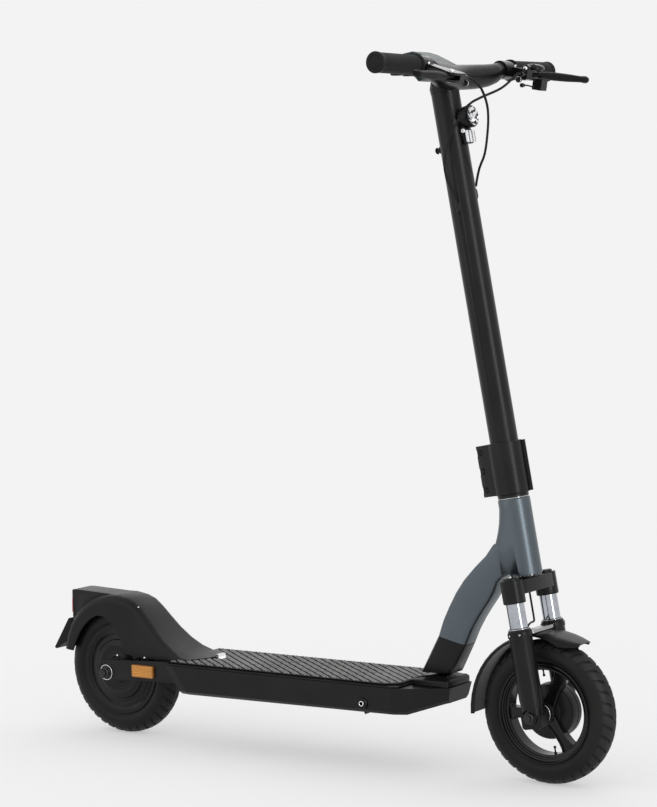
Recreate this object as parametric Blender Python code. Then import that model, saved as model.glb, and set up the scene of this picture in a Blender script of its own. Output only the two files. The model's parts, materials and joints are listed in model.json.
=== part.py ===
"""Folding electric scooter: wheels, deck, neck, suspension fork, folding stem and handlebar.

Metres, +Z up, +X forward, +Y to the rider's left. The origin is on the ground at the middle of the
overall length. Everything that steers is modelled in the steering frame: its origin is the front
axle, its Z runs up the steering axis and its X points forward, square to that axis.
"""
import math

import bpy
import bmesh
from mathutils import Matrix, Vector

# Clearance between pieces that touch
GAP = 0.0003

# Wheels
WHEEL_R = 0.125
TYRE_HALF = 0.027
TREAD_HALF = 0.0065
WHEEL_STEPS = 40
BEAD_R = 0.081
RIM_LIP_R = 0.0872
RIM_HALF = 0.0228
RIM_WALL = 0.0077

# Overall layout
WHEELBASE = 0.932
FLAP_REACH = 0.157
LENGTH = FLAP_REACH + WHEELBASE + WHEEL_R
FRONT_X = LENGTH / 2 - WHEEL_R
REAR_X = FRONT_X - WHEELBASE

# Deck
DECK_TOP = 0.161
DECK_BOTTOM = 0.107
DECK_TAIL_BOTTOM = 0.1025
DECK_HALF = 0.0855
DECK_TAIL = 0.156
DECK_TAIL_RAKE = 0.034
DECK_SHOULDER = 0.271
NOSE_TIP = 0.178
NOSE_HALF = 0.037
NOSE_LIFT = 0.020
DECK_WALL = 0.0045
PLATE_T = 0.003
MAT_T = 0.0024
TUB_TOP = DECK_TOP - MAT_T - PLATE_T - 2 * GAP
PLATE_TOP = DECK_TOP - MAT_T - GAP
MAT_MARGIN = 0.006
PACK_MARGIN = 0.0155
SIDE_DRAFT = 0.004
SOCKET_X = FRONT_X - 0.332
SOCKET_Z = 0.123

# Kickstand: stowed along the deck's left side, and the way it points when it is down
STAND_PIVOT = Vector((FRONT_X - 0.330, 0.072, 0.100))
STAND_DOWN = Vector((0.035, 0.066, -0.092))
STAND_STOWED = Vector((-1.0, 0.03, -0.01))
STAND_AXIS = STAND_DOWN.cross(STAND_STOWED).normalized()
STAND_TRAVEL = STAND_DOWN.angle(STAND_STOWED) - math.radians(12.0)
STAND_CLEAR = 0.004

# Steering and neck
RAKE_DEG = 80.3
HEAD_R = 0.028
HEAD_LOW = 0.238
HEAD_HIGH = 0.370
STEERER_R = 0.016
STEERER_BORE = 0.0125
BEARING_R = 0.0225
BEARING_SEAT = 0.0105
BEARING_LIP = 0.003
NECK_CORNER = 0.009
NECK_UNDERSIDE = 0.79
# Steering-frame points of the neck arm's upper and lower edge, and its half width, from the foot up
NECK_STATIONS = (
    ((-0.1850, 0.1525), (-0.1358, 0.1300), 0.0270),
    ((-0.1705, 0.1778), (-0.1212, 0.1508), 0.0268),
    ((-0.1540, 0.2003), (-0.1055, 0.1692), 0.0266),
    ((-0.1350, 0.2235), (-0.0885, 0.1865), 0.0265),
    ((-0.1138, 0.2440), (-0.0725, 0.2015), 0.0265),
    ((-0.0875, 0.2635), (-0.0605, 0.2150), 0.0267),
    ((-0.0620, 0.2800), (-0.0510, 0.2300), 0.0270),
    ((-0.0430, 0.2975), (-0.0400, 0.2378), 0.0270),
    ((-0.0300, 0.2980), (-0.0260, 0.2408), 0.0268),
    ((-0.0150, 0.2980), (-0.0100, 0.2425), 0.0266),
)
# Where the arm runs into the head tube: height up the steering axis, reach to the rear, squareness
THROAT_STATIONS = (
    (0.2445, 0.0420, 4.0),
    (0.2850, 0.0428, 4.0),
    (0.2975, 0.0430, 3.8),
    (0.3085, 0.0380, 3.4),
    (0.3200, 0.0338, 3.0),
    (0.3315, 0.0308, 2.6),
    (0.3430, 0.0290, 2.3),
    (0.3550, 0.0280, 2.0),
    (0.3665, 0.0268, 2.0),
)
THROAT_SWELL = 0.0003
THROAT_FRONT = 0.012
FOOT_BACK = 0.244
FOOT_FRONT = 0.1845
FOOT_HALF = 0.040

# Suspension fork
LEG_SPREAD = 0.0560
LEG_X = 0.0015
LEG_R = 0.0202
LEG_TOP = 0.147
STANCHION_R = 0.0155
LEG_BORE = 0.0162
CROWN_LOW = 0.195
CROWN_HIGH = 0.2335
CROWN_BRIDGE_LOW = 0.209
BOSS_R = 0.0195
FORK_TRAVEL = 0.030
FENDER_R = 0.1385
FENDER_T = 0.003
FENDER_HALF = 0.031

# Front drum brake's cam and arm
CAM = (-0.030, 0, 0.006)
ARM_IN = 0.0332
ARM_OUT = 0.0362
ARM_REACH = 0.032

# Folding joint
COLLAR_R = 0.030
COLLAR_LOW = 0.378
COLLAR_HIGH = 0.468
PLUG_R = 0.0198
PLUG_TOP = 0.404
FOLD_PIN_X = -0.043
FOLD_PIN_S = 0.390
PIN_R = 0.004
EAR_REACH = 0.0508
EAR_HALF = 0.0145
SLIT_HALF = 0.006
LEVER_HINGE_R = 0.0345
LEVER_HINGE_DEG = 83.0
LEVER_HINGE = (LEVER_HINGE_R * math.cos(math.radians(LEVER_HINGE_DEG)),
               LEVER_HINGE_R * math.sin(math.radians(LEVER_HINGE_DEG)))

# Stem and handlebar
STEM_R = 0.0246
STEM_WALL = 0.0025
STEM_TOP = 1.0775
LAMP_S = 1.0275
HOOK_S = 0.9826
BAR_S = 1.1000
BAR_X = 0.019
BAR_RISE = 0.0107
BAR_SWEEP = 0.0255
BAR_HALF = 0.281
BAR_R = 0.0115
BAR_CORE_X = 0.026
BAR_CORE_S = 0.0218
BAR_SHOULDER_R = 0.0152
GRIP_R = 0.0168
GRIP_LEN = 0.130
PERCH_TILT_RIGHT_DEG = -30.0
PERCH_TILT_LEFT_DEG = -20.0
PERCH_LEN = 0.0305
PERCH_OUT = BAR_HALF - GRIP_LEN - 0.002
PERCH_IN = PERCH_OUT - PERCH_LEN
# Ends of the handlebar's wide middle: its shoulder, the step to the clamped ends, the end of its sweep
BAR_SHOULDER_Y = PERCH_IN - 0.0050
BAR_STEP_Y = PERCH_IN - 0.0020
BAR_OUT = PERCH_IN - 0.0005
LEVER_REACH = 0.0556
LEVER_Y = PERCH_OUT - 0.022
BARREL_END = LEVER_Y - 0.039
# Brake lever blade from its eye to its tip: distance out from the pivot, reach ahead of it, half sizes
BLADE_STATIONS = (
    (-0.0085, -0.0010, 0.0060, 0.0036),
    (0.004, 0.0005, 0.0075, 0.0036),
    (0.016, 0.0020, 0.0072, 0.0036),
    (0.030, 0.0055, 0.0070, 0.0056),
    (0.062, 0.0130, 0.0072, 0.0074),
    (0.099, 0.0203, 0.0066, 0.0070),
    (0.137, 0.0265, 0.0056, 0.0055),
    (0.150, 0.0284, 0.0068, 0.0064),
    (0.157, 0.0293, 0.0040, 0.0040),
)
BLADE_KNEE = 0.020
BLADE_LIFT_RIGHT = 0.0092
BLADE_LIFT_LEFT = -0.0024
THROTTLE_Y = (-(PERCH_OUT - 0.0002), -(PERCH_OUT - 0.0125))
PADDLE_Y = (-(PERCH_OUT + 0.0140), -(PERCH_OUT + 0.0001))
THUMB_PIVOT = (-0.0262, -0.0045)
SWITCH_IN = PERCH_OUT - 0.013
SWITCH_OUT = PERCH_OUT + 0.009
SWITCH_E = (0.060, 0.078)
SWITCH_N = (-0.0258, -0.0068)
GROMMET_RIGHT = (0.003, -0.0229, 0.890)
GROMMET_LEFT = (0.0132, 0.0189, 0.910)

# Rear wheel and its carrier
DROP_IN = 0.056
DROP_T = 0.007
AXLE_R = 0.0085
SPIGOT_R = 0.006
REAR_FENDER_R = 0.1243
REAR_FENDER_SHIFT = -0.002
REAR_FENDER_RISE = 0.020
FENDER_TOE = 0.214
LAMP_HALF = 0.026
CATCH_LEN = 0.022
CATCH_REACH = FENDER_TOE + CATCH_LEN
CATCH_HALF = 0.011
REAR_FENDER_HALF = 0.041
REAR_FENDER_T = 0.0032

ALPHA = math.radians(90.0 - RAKE_DEG)
AXLE_Z = WHEEL_R

MATERIALS = {
    "black_paint": ((0.018, 0.018, 0.019), 0.45, 0.0),
    "satin_black": ((0.028, 0.028, 0.030), 0.55, 0.0),
    "slate_paint": ((0.105, 0.135, 0.160), 0.38, 0.35),
    "rubber": ((0.016, 0.016, 0.016), 0.80, 0.0),
    "tyre": ((0.020, 0.020, 0.020), 0.85, 0.0),
    "chrome": ((0.80, 0.80, 0.82), 0.10, 1.0),
    "steel": ((0.45, 0.45, 0.46), 0.30, 1.0),
    "amber": ((0.85, 0.30, 0.02), 0.20, 0.0),
    "red_lens": ((0.55, 0.01, 0.01), 0.15, 0.0),
    "clear_lens": ((0.85, 0.87, 0.90), 0.08, 0.0),
    "glass": ((0.02, 0.03, 0.03), 0.06, 0.0),
    "cell_wrap": ((0.05, 0.12, 0.30), 0.45, 0.0),
    "board": ((0.20, 0.20, 0.21), 0.40, 0.6),
    "copper": ((0.70, 0.35, 0.18), 0.35, 0.9),
}
made_materials = {}


def material(name):
    """The named finish, made once."""
    if name not in made_materials:
        colour, roughness, metallic = MATERIALS[name]
        finish = bpy.data.materials.new(name)
        finish.use_nodes = True
        shader = finish.node_tree.nodes["Principled BSDF"]
        shader.inputs["Base Color"].default_value = (*colour, 1.0)
        shader.inputs["Roughness"].default_value = roughness
        shader.inputs["Metallic"].default_value = metallic
        made_materials[name] = finish
    return made_materials[name]


def empty(name, location, parent=None, turn_y=0.0):
    """A joint's frame."""
    frame = bpy.data.objects.new(name, None)
    bpy.context.collection.objects.link(frame)
    frame.parent = parent
    frame.location = location
    frame.rotation_euler = (0.0, turn_y, 0.0)
    return frame


def skin(name, rings, finish, frame=None, shift=(0, 0, 0), loop=False, sharp=35.0, folded=False):
    """One closed body through equal rings of points, capped at both ends or joined into a loop.

    A folded ring runs out along one face of a thin wall and back along the other.
    """
    mesh = bpy.data.meshes.new(name)
    work = bmesh.new()
    rows = [[work.verts.new(point) for point in ring] for ring in rings]
    count = len(rows[0])
    pairs = list(zip(rows, rows[1:]))
    if loop:
        pairs.append((rows[-1], rows[0]))
    for low, high in pairs:
        for i in range(count):
            j = (i + 1) % count
            work.faces.new((low[i], low[j], high[j], high[i]))
    for row in () if loop else (rows[0], rows[-1]):
        if not folded:
            work.faces.new(row)
            continue
        for i in range(count // 2 - 1):
            work.faces.new((row[i], row[i + 1], row[count - 2 - i], row[count - 1 - i]))
    bmesh.ops.recalc_face_normals(work, faces=work.faces)
    work.to_mesh(mesh)
    work.free()
    mesh.shade_smooth()
    mesh.set_sharp_from_angle(angle=math.radians(sharp))
    mesh.materials.append(material(finish))
    piece = bpy.data.objects.new(name, mesh)
    bpy.context.collection.objects.link(piece)
    piece.parent = frame
    piece.location = shift
    return piece


def circle(radius, along, steps, axis, centre, start=0.0):
    """Points of one circle round an axis through centre, at a distance along it."""
    cx, cy, cz = centre
    points = []
    for i in range(steps):
        turn = start + 2 * math.pi * i / steps
        a, b = radius * math.cos(turn), radius * math.sin(turn)
        if axis == "X":
            points.append((cx + along, cy + a, cz + b))
        elif axis == "Y":
            points.append((cx + a, cy + along, cz + b))
        else:
            points.append((cx + a, cy + b, cz + along))
    return points


def turned(name, profile, finish, frame=None, axis="Z", centre=(0, 0, 0), shift=(0, 0, 0),
           steps=24, hollow=False, start=0.0):
    """A turned piece from (radius, along) points; hollow closes the profile into a tube wall."""
    rings = [circle(radius, along, steps, axis, centre, start) for radius, along in profile]
    return skin(name, rings, finish, frame, shift, loop=hollow)


def slab(name, outline, low, high, finish, frame=None, plane="XZ", shift=(0, 0, 0), sharp=35.0):
    """An outline pulled from low to high, square to its plane."""
    place = {
        "XZ": lambda u, v, w: (u, w, v),
        "XY": lambda u, v, w: (u, v, w),
        "YZ": lambda u, v, w: (w, u, v),
    }[plane]
    rings = [[place(u, v, w) for u, v in outline] for w in (low, high)]
    return skin(name, rings, finish, frame, shift, sharp=sharp)


def rounded(half_u, half_v, radius, centre=(0.0, 0.0), steps=3):
    """Outline of a rectangle with round corners."""
    points = []
    for sign_u, sign_v, first in ((1, 1, 0), (-1, 1, 90), (-1, -1, 180), (1, -1, 270)):
        for i in range(steps + 1):
            turn = math.radians(first + 90.0 * i / steps)
            u = centre[0] + sign_u * (half_u - radius) + radius * math.cos(turn)
            v = centre[1] + sign_v * (half_v - radius) + radius * math.sin(turn)
            points.append((u, v))
    return points


def arc(centre, radius, first_deg, last_deg, steps):
    """Points of an arc in a plane."""
    points = []
    for i in range(steps + 1):
        turn = math.radians(first_deg + (last_deg - first_deg) * i / steps)
        points.append((centre[0] + radius * math.cos(turn), centre[1] + radius * math.sin(turn)))
    return points


def joined(piece, tool, operation):
    """Applies a hidden tool to a piece with a Boolean."""
    tool.hide_render = True
    tool.display_type = "WIRE"
    step = piece.modifiers.new(tool.name, "BOOLEAN")
    step.operation = operation
    step.solver = "EXACT"
    step.object = tool
    return piece


def fuse(piece, tool):
    return joined(piece, tool, "UNION")


def cut(piece, tool):
    return joined(piece, tool, "DIFFERENCE")


def bezier(p0, p1, p2, p3, t):
    """A point of a cubic curve."""
    a, b, c, d = (1 - t) ** 3, 3 * t * (1 - t) ** 2, 3 * t * t * (1 - t), t ** 3
    return Vector(p0) * a + Vector(p1) * b + Vector(p2) * c + Vector(p3) * d


def steer_to_world(x, s):
    """World X and Z of a point of the steering frame's middle plane."""
    wx = FRONT_X + x * math.cos(ALPHA) - s * math.sin(ALPHA)
    wz = AXLE_Z + x * math.sin(ALPHA) + s * math.cos(ALPHA)
    return wx, wz


def clear_scene():
    for item in list(bpy.data.objects):
        bpy.data.objects.remove(item, do_unlink=True)


clear_scene()

STEER = empty("steering_axis", (FRONT_X, 0, AXLE_Z), None, -ALPHA)
FORK = empty("fork_slide_axis", (0, 0, 0), STEER)
FRONT_WHEEL = empty("front_wheel_axis", (0, 0, 0), FORK)
REAR_WHEEL = empty("rear_wheel_axis", (REAR_X, 0, AXLE_Z), None)
FOLD = empty("fold_axis", (FOLD_PIN_X, 0, FOLD_PIN_S), STEER)
# Pieces on the stem are drawn in the steering frame and hang from the fold pin
ON_FOLD = (-FOLD_PIN_X, 0, -FOLD_PIN_S)


def tyre(name, frame):
    """Pneumatic tyre: flat-crowned tread, shoulders, sidewalls and beads, open to the rim."""
    bead_in, bead_out = RIM_HALF - 0.0085, RIM_HALF - 0.003 - GAP
    half = [
        (WHEEL_R, TREAD_HALF),
        (WHEEL_R - 0.0028, TREAD_HALF + 0.0070),
        (WHEEL_R - 0.0090, TYRE_HALF - 0.0067),
        (WHEEL_R - 0.0168, TYRE_HALF - 0.0022),
        (WHEEL_R - 0.0245, TYRE_HALF - 0.0004),
        (RIM_LIP_R + 0.0050, TYRE_HALF - 0.0022),
        (RIM_LIP_R + 0.0006, bead_out),
        (BEAD_R, bead_out),
        (BEAD_R, bead_in),
        (WHEEL_R - 0.0220, TYRE_HALF - 0.0060),
        (WHEEL_R - 0.0080, TREAD_HALF + 0.003),
    ]
    # Flats of the facets, not their corners, lie at the wheel's radius
    spread = 1.0 / math.cos(math.pi / WHEEL_STEPS)
    profile = [(r * spread, -y) for r, y in half] + [(r * spread, y) for r, y in reversed(half)]
    return turned(name, profile, "tyre", frame, "Y", steps=WHEEL_STEPS, hollow=True,
                  start=math.pi / WHEEL_STEPS)


def rim_outline(side):
    """Outer half of a rim's section on one side, from the lip's outer corner to the bead seat."""
    seat = BEAD_R - GAP
    return [
        (RIM_LIP_R - RIM_WALL, side * RIM_HALF),
        (RIM_LIP_R, side * RIM_HALF),
        (RIM_LIP_R, side * (RIM_HALF - 0.003)),
        (seat, side * (RIM_HALF - 0.003)),
    ]


def front_wheel():
    tyre("front_tyre", FRONT_WHEEL)
    inner = BEAD_R - RIM_WALL
    right, left = rim_outline(-1), rim_outline(1)
    profile = right + list(reversed(left)) + [(inner, 0.013), (inner, -0.013)]
    rim = turned("front_rim", profile, "black_paint", FRONT_WHEEL, "Y", steps=WHEEL_STEPS,
                 hollow=True, start=math.pi / WHEEL_STEPS)
    bore = SPIGOT_R + GAP
    drum_r, drum_in, drum_left = 0.046, 0.042, 0.0262
    hub_profile = [
        (bore, -0.030), (0.0150, -0.030), (0.0175, -0.027), (0.0175, -0.006), (drum_r - 0.004, -0.001),
        (drum_r, 0.004), (drum_r, drum_left), (drum_in, drum_left), (drum_in, 0.006),
        (0.016, 0.006), (0.016, 0.020), (bore, 0.020),
    ]
    hub = turned("front_hub_tool", hub_profile, "black_paint", FRONT_WHEEL, "Y", steps=32, hollow=True)
    for k in range(3):
        turn = math.radians(75.0 + 120.0 * k - math.degrees(ALPHA))
        near, waist, far = 0.0155, 0.045, inner + 0.003
        widths = ((near, 0.0100), (waist, 0.0075), (far, 0.0125))
        rings = []
        for radius, half in widths:
            ring = []
            for across, side in ((-half, -0.014), (half, -0.014), (half, 0.003), (-half, 0.003)):
                x = radius * math.cos(turn) - across * math.sin(turn)
                z = radius * math.sin(turn) + across * math.cos(turn)
                ring.append((x, side, z))
            rings.append(ring)
        spoke = skin("front_spoke_tool_%d" % k, rings, "black_paint", FRONT_WHEEL)
        fuse(rim, spoke)
    fuse(rim, hub)
    return rim


def rear_wheel():
    tyre("rear_tyre", REAR_WHEEL)
    bore = AXLE_R + GAP
    right, left = rim_outline(-1), rim_outline(1)
    shell = 0.0035
    right_face = [(bore, -0.0320), (0.0220, -0.0320), (0.0250, -0.0275), (0.0560, -0.0245),
                  (0.0600, -0.0205), (0.0740, -0.0185)]
    left_face = [(radius, -y) for radius, y in reversed(right_face)]
    cavity = [(bore, 0.0275 - shell), (0.0550, 0.0245 - shell),
              (0.0550, shell - 0.0245), (bore, shell - 0.0275)]
    profile = right_face + right + list(reversed(left)) + left_face + cavity
    return turned("rear_rim", profile, "black_paint", REAR_WHEEL, "Y", steps=WHEEL_STEPS,
                  hollow=True, start=math.pi / WHEEL_STEPS)


def rear_axle_parts():
    """Motor stator, shaft, nut and the two dropout plates that carry the rear wheel."""
    here = (REAR_X, 0, AXLE_Z)
    outer = DROP_IN + DROP_T
    turned("motor_stator", [(AXLE_R + GAP, -0.016), (0.050, -0.016), (0.050, 0.016), (AXLE_R + GAP, 0.016)],
           "copper", None, "Y", here, steps=32, hollow=True)
    shoulder = DROP_IN - GAP
    head = outer + GAP
    profile = [(SPIGOT_R, -(outer + 0.0115)), (SPIGOT_R, -shoulder), (AXLE_R, -shoulder), (AXLE_R, shoulder),
               (SPIGOT_R, shoulder), (SPIGOT_R, head), (0.0105, head), (0.0105, head + 0.008)]
    turned("rear_axle", profile, "steel", None, "Y", here, steps=16)
    bore = SPIGOT_R + GAP
    nut = [(bore, -head - 0.009), (0.0098, -head - 0.009), (0.0108, -head - 0.0075),
           (0.0108, -head - 0.0018), (0.0135, -head - 0.0018), (0.0135, -head), (bore, -head)]
    turned("rear_nut", nut, "steel", None, "Y", here, steps=12, hollow=True)
    tail = REAR_X + DECK_TAIL + 0.012
    for side, name in ((-1, "dropout_right"), (1, "dropout_left")):
        outline = arc((REAR_X - 0.002, AXLE_Z + 0.006), 0.019, 110, 250, 5)
        outline += [(tail, DECK_BOTTOM + 0.011), (tail, DECK_TOP - 0.004)]
        low, high = sorted((side * DROP_IN, side * outer))
        plate = slab(name, outline, low, high, "satin_black")
        hole = turned(name + "_hole", [(bore, -0.01), (bore, 0.01)], "satin_black", None, "Y",
                      (REAR_X, side * (DROP_IN + DROP_T / 2), AXLE_Z), steps=16)
        cut(plate, hole)
        seat = slab(name + "_seat", tail_wedge(GAP), low - 0.001, high + 0.001, "satin_black")
        cut(plate, seat)
        spot = REAR_X + 0.091
        glass = rounded(0.0255, 0.0115, 0.002, (spot, AXLE_Z + 0.0095), 1)
        low, high = sorted((side * (outer + GAP), side * (outer + 0.005)))
        slab("reflector_right" if side < 0 else "reflector_left", glass, low, high, "amber")


def tail_wedge(extra):
    """Side view of the deck's raked tail, grown by a clearance."""
    top = REAR_X + DECK_TAIL - extra
    low = top + DECK_TAIL_RAKE
    return [(top, DECK_TOP + 0.01), (top, TUB_TOP), (low, DECK_TAIL_BOTTOM), (low, DECK_TAIL_BOTTOM - 0.01),
            (low + 0.1, DECK_TAIL_BOTTOM - 0.01), (low + 0.1, DECK_TOP + 0.01)]


def deck_section(x_top, x_low, half, low, high):
    """One cross-section of the deck tub: drafted sides and a chamfered lower edge."""
    chamfer = 0.006
    points = [(half, high), (half - SIDE_DRAFT, low + chamfer), (half - SIDE_DRAFT - chamfer, low),
              (-half + SIDE_DRAFT + chamfer, low), (-half + SIDE_DRAFT, low + chamfer), (-half, high)]
    ring = []
    for y, z in points:
        share = (high - z) / (high - low)
        ring.append((x_top + (x_low - x_top) * share, y, z))
    return ring


def deck():
    top = TUB_TOP
    tail = REAR_X + DECK_TAIL
    shoulder = FRONT_X - DECK_SHOULDER
    tip = FRONT_X - NOSE_TIP
    rings = [
        deck_section(tail, tail + DECK_TAIL_RAKE, DECK_HALF - 0.003, DECK_TAIL_BOTTOM, top),
        deck_section(tail + 0.02, tail + DECK_TAIL_RAKE + 0.02, DECK_HALF, DECK_TAIL_BOTTOM, top),
        deck_section(shoulder, shoulder, DECK_HALF, DECK_BOTTOM, top),
        deck_section(shoulder + 0.022, shoulder + 0.022, DECK_HALF - 0.010, DECK_BOTTOM, top),
        deck_section(tip - 0.008, tip - 0.014, NOSE_HALF + 0.004, DECK_BOTTOM + NOSE_LIFT - 0.002, top),
        deck_section(tip, tip - 0.006, NOSE_HALF, DECK_BOTTOM + NOSE_LIFT, top),
    ]
    tub = skin("deck_tub", rings, "satin_black", sharp=25)
    well_tail, well_front = tail + DECK_TAIL_RAKE + 0.012, shoulder - 0.008
    well_half = DECK_HALF - SIDE_DRAFT - DECK_WALL
    well = [(well_tail, -well_half), (well_front, -well_half),
            (well_front, well_half), (well_tail, well_half)]
    floor = DECK_BOTTOM + DECK_WALL
    cut(tub, slab("deck_well", well, floor, top + 0.02, "satin_black", plane="XY"))
    plate_low = top + GAP
    front = shoulder + 0.012
    plate = [(tail + 0.004, -DECK_HALF + 0.002), (shoulder, -DECK_HALF + 0.002), (front, -DECK_HALF + 0.009),
             (front, DECK_HALF - 0.009), (shoulder, DECK_HALF - 0.002), (tail + 0.004, DECK_HALF - 0.002)]
    slab("deck_plate", plate, plate_low, PLATE_TOP, "satin_black", plane="XY")
    edge = DECK_HALF - MAT_MARGIN
    front = shoulder + 0.008
    notch = [(toe_front(y) + 0.001, y) for y in (-0.0545, -0.049, -0.040, -0.028, -CATCH_HALF - 0.0012)]
    step = REAR_X + CATCH_REACH + 0.0012
    mat = [(tail + 0.006, -edge), (shoulder - 0.018, -edge), (front, -edge + 0.016), (front, edge - 0.016),
           (shoulder - 0.018, edge), (tail + 0.006, edge), (tail + 0.006, 0.0555)]
    mat += [(x, -y) for x, y in notch] + [(step, -notch[-1][1]), (step, notch[-1][1])]
    mat += list(reversed(notch)) + [(tail + 0.006, -0.0555)]
    slab("deck_mat", mat, PLATE_TOP + GAP, PLATE_TOP + GAP + MAT_T, "rubber", plane="XY")
    pack_half = DECK_HALF - PACK_MARGIN
    pack = [(well_tail + 0.060, -pack_half), (well_front - 0.004, -pack_half),
            (well_front - 0.004, pack_half), (well_tail + 0.060, pack_half)]
    slab("battery_pack", pack, floor + GAP, floor + 0.038, "cell_wrap", plane="XY")
    box = rounded(0.026, DECK_HALF - 0.0405, 0.003, (well_tail + 0.028, 0), 1)
    slab("motor_controller", box, floor + GAP, floor + 0.024, "board", plane="XY")
    socket(tub)
    kickstand_lug(tub)
    return tub


def socket(tub):
    """Charge socket in the right side of the deck."""
    wall = DECK_HALF - SIDE_DRAFT
    deep, face = -(wall - DECK_WALL - 0.006), -(wall + 0.0045)
    hole = turned("socket_hole", [(0.0088, -wall - 0.01), (0.0088, deep + 0.001)], "satin_black", None, "Y",
                  (SOCKET_X, 0, SOCKET_Z), steps=20)
    cut(tub, hole)
    profile = [(0.0042, face), (0.0102, face), (0.0112, face + 0.0015), (0.0112, -wall - 0.0025),
               (0.0085, -wall - 0.0025), (0.0085, deep - 0.001), (0.0042, deep - 0.001)]
    turned("charge_socket", profile, "steel", None, "Y", (SOCKET_X, 0, SOCKET_Z), steps=20, hollow=True)


def stand_matrix():
    """Frame of the kickstand: Z along its hinge, X down the deployed leg."""
    z = STAND_AXIS
    x = STAND_DOWN.normalized()
    y = z.cross(x)
    return Matrix((x, y, z)).transposed().to_4x4()


def kickstand_lug(tub):
    """Round lug under the deck's left side, with the kickstand's hinge pin in it."""
    rings = [circle(0.0105, a, 16, "Z", (0, 0, 0)) for a in (-0.006, 0.010)]
    matrix = Matrix.Translation(STAND_PIVOT) @ stand_matrix()
    points = [[matrix @ Vector(p) for p in ring] for ring in rings]
    fuse(tub, skin("kickstand_lug_tool", points, "satin_black"))
    pin = [[matrix @ Vector(p) for p in circle(0.0035, a, 12, "Z", (0, 0, 0))] for a in (-0.0165, 0.0)]
    fuse(tub, skin("kickstand_pin_tool", pin, "satin_black"))


def kickstand():
    """Leg on a tilted hinge: an eye round the pin, a slightly bent rod and a flat foot, stowed."""
    frame = empty("kickstand_axis", STAND_PIVOT)
    frame.rotation_euler = (Matrix.Rotation(STAND_TRAVEL, 4, STAND_AXIS) @ stand_matrix()).to_euler()
    eye_low, eye_high = -0.0150, -0.0064
    middle = (eye_low + eye_high) / 2
    eye = turned("kickstand_leg", [(0.0038, eye_low), (0.0095, eye_low), (0.0095, eye_high),
                                   (0.0038, eye_high)], "satin_black", frame, steps=16, hollow=True)
    turn = stand_matrix().to_3x3().inverted()
    foot_world = Vector((STAND_PIVOT.x + STAND_DOWN.x, STAND_PIVOT.y + STAND_DOWN.y, STAND_CLEAR))
    start = Vector((0.0070, 0, middle))
    above = turn @ (foot_world + Vector((-0.002, -0.004, 0.014)) - STAND_PIVOT)
    mid = start.lerp(above, 0.5)
    along = (above - start).normalized()
    side = along.cross(Vector((0, 0, 1))).normalized()
    up = side.cross(along)
    rings = []
    for point, radius in ((start, 0.0038), (mid, 0.0046), (above, 0.0046)):
        ring = []
        for i in range(10):
            a = 2 * math.pi * i / 10
            ring.append(point + side * radius * math.cos(a) + up * radius * math.sin(a))
        rings.append(ring)
    fuse(eye, skin("kickstand_rod_tool", rings, "satin_black", frame))
    sole = rounded(0.016, 0.010, 0.004, (0, 0), 2)
    pad = [[turn @ (foot_world + Vector((x, y, z)) - STAND_PIVOT) for x, y in sole] for z in (0.0, 0.009)]
    pad.append([turn @ (foot_world + Vector((x * 0.6 - 0.002, y * 0.6 - 0.003, 0.017)) - STAND_PIVOT)
                for x, y in sole])
    fuse(eye, skin("kickstand_pad_tool", pad, "rubber", frame))


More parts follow.
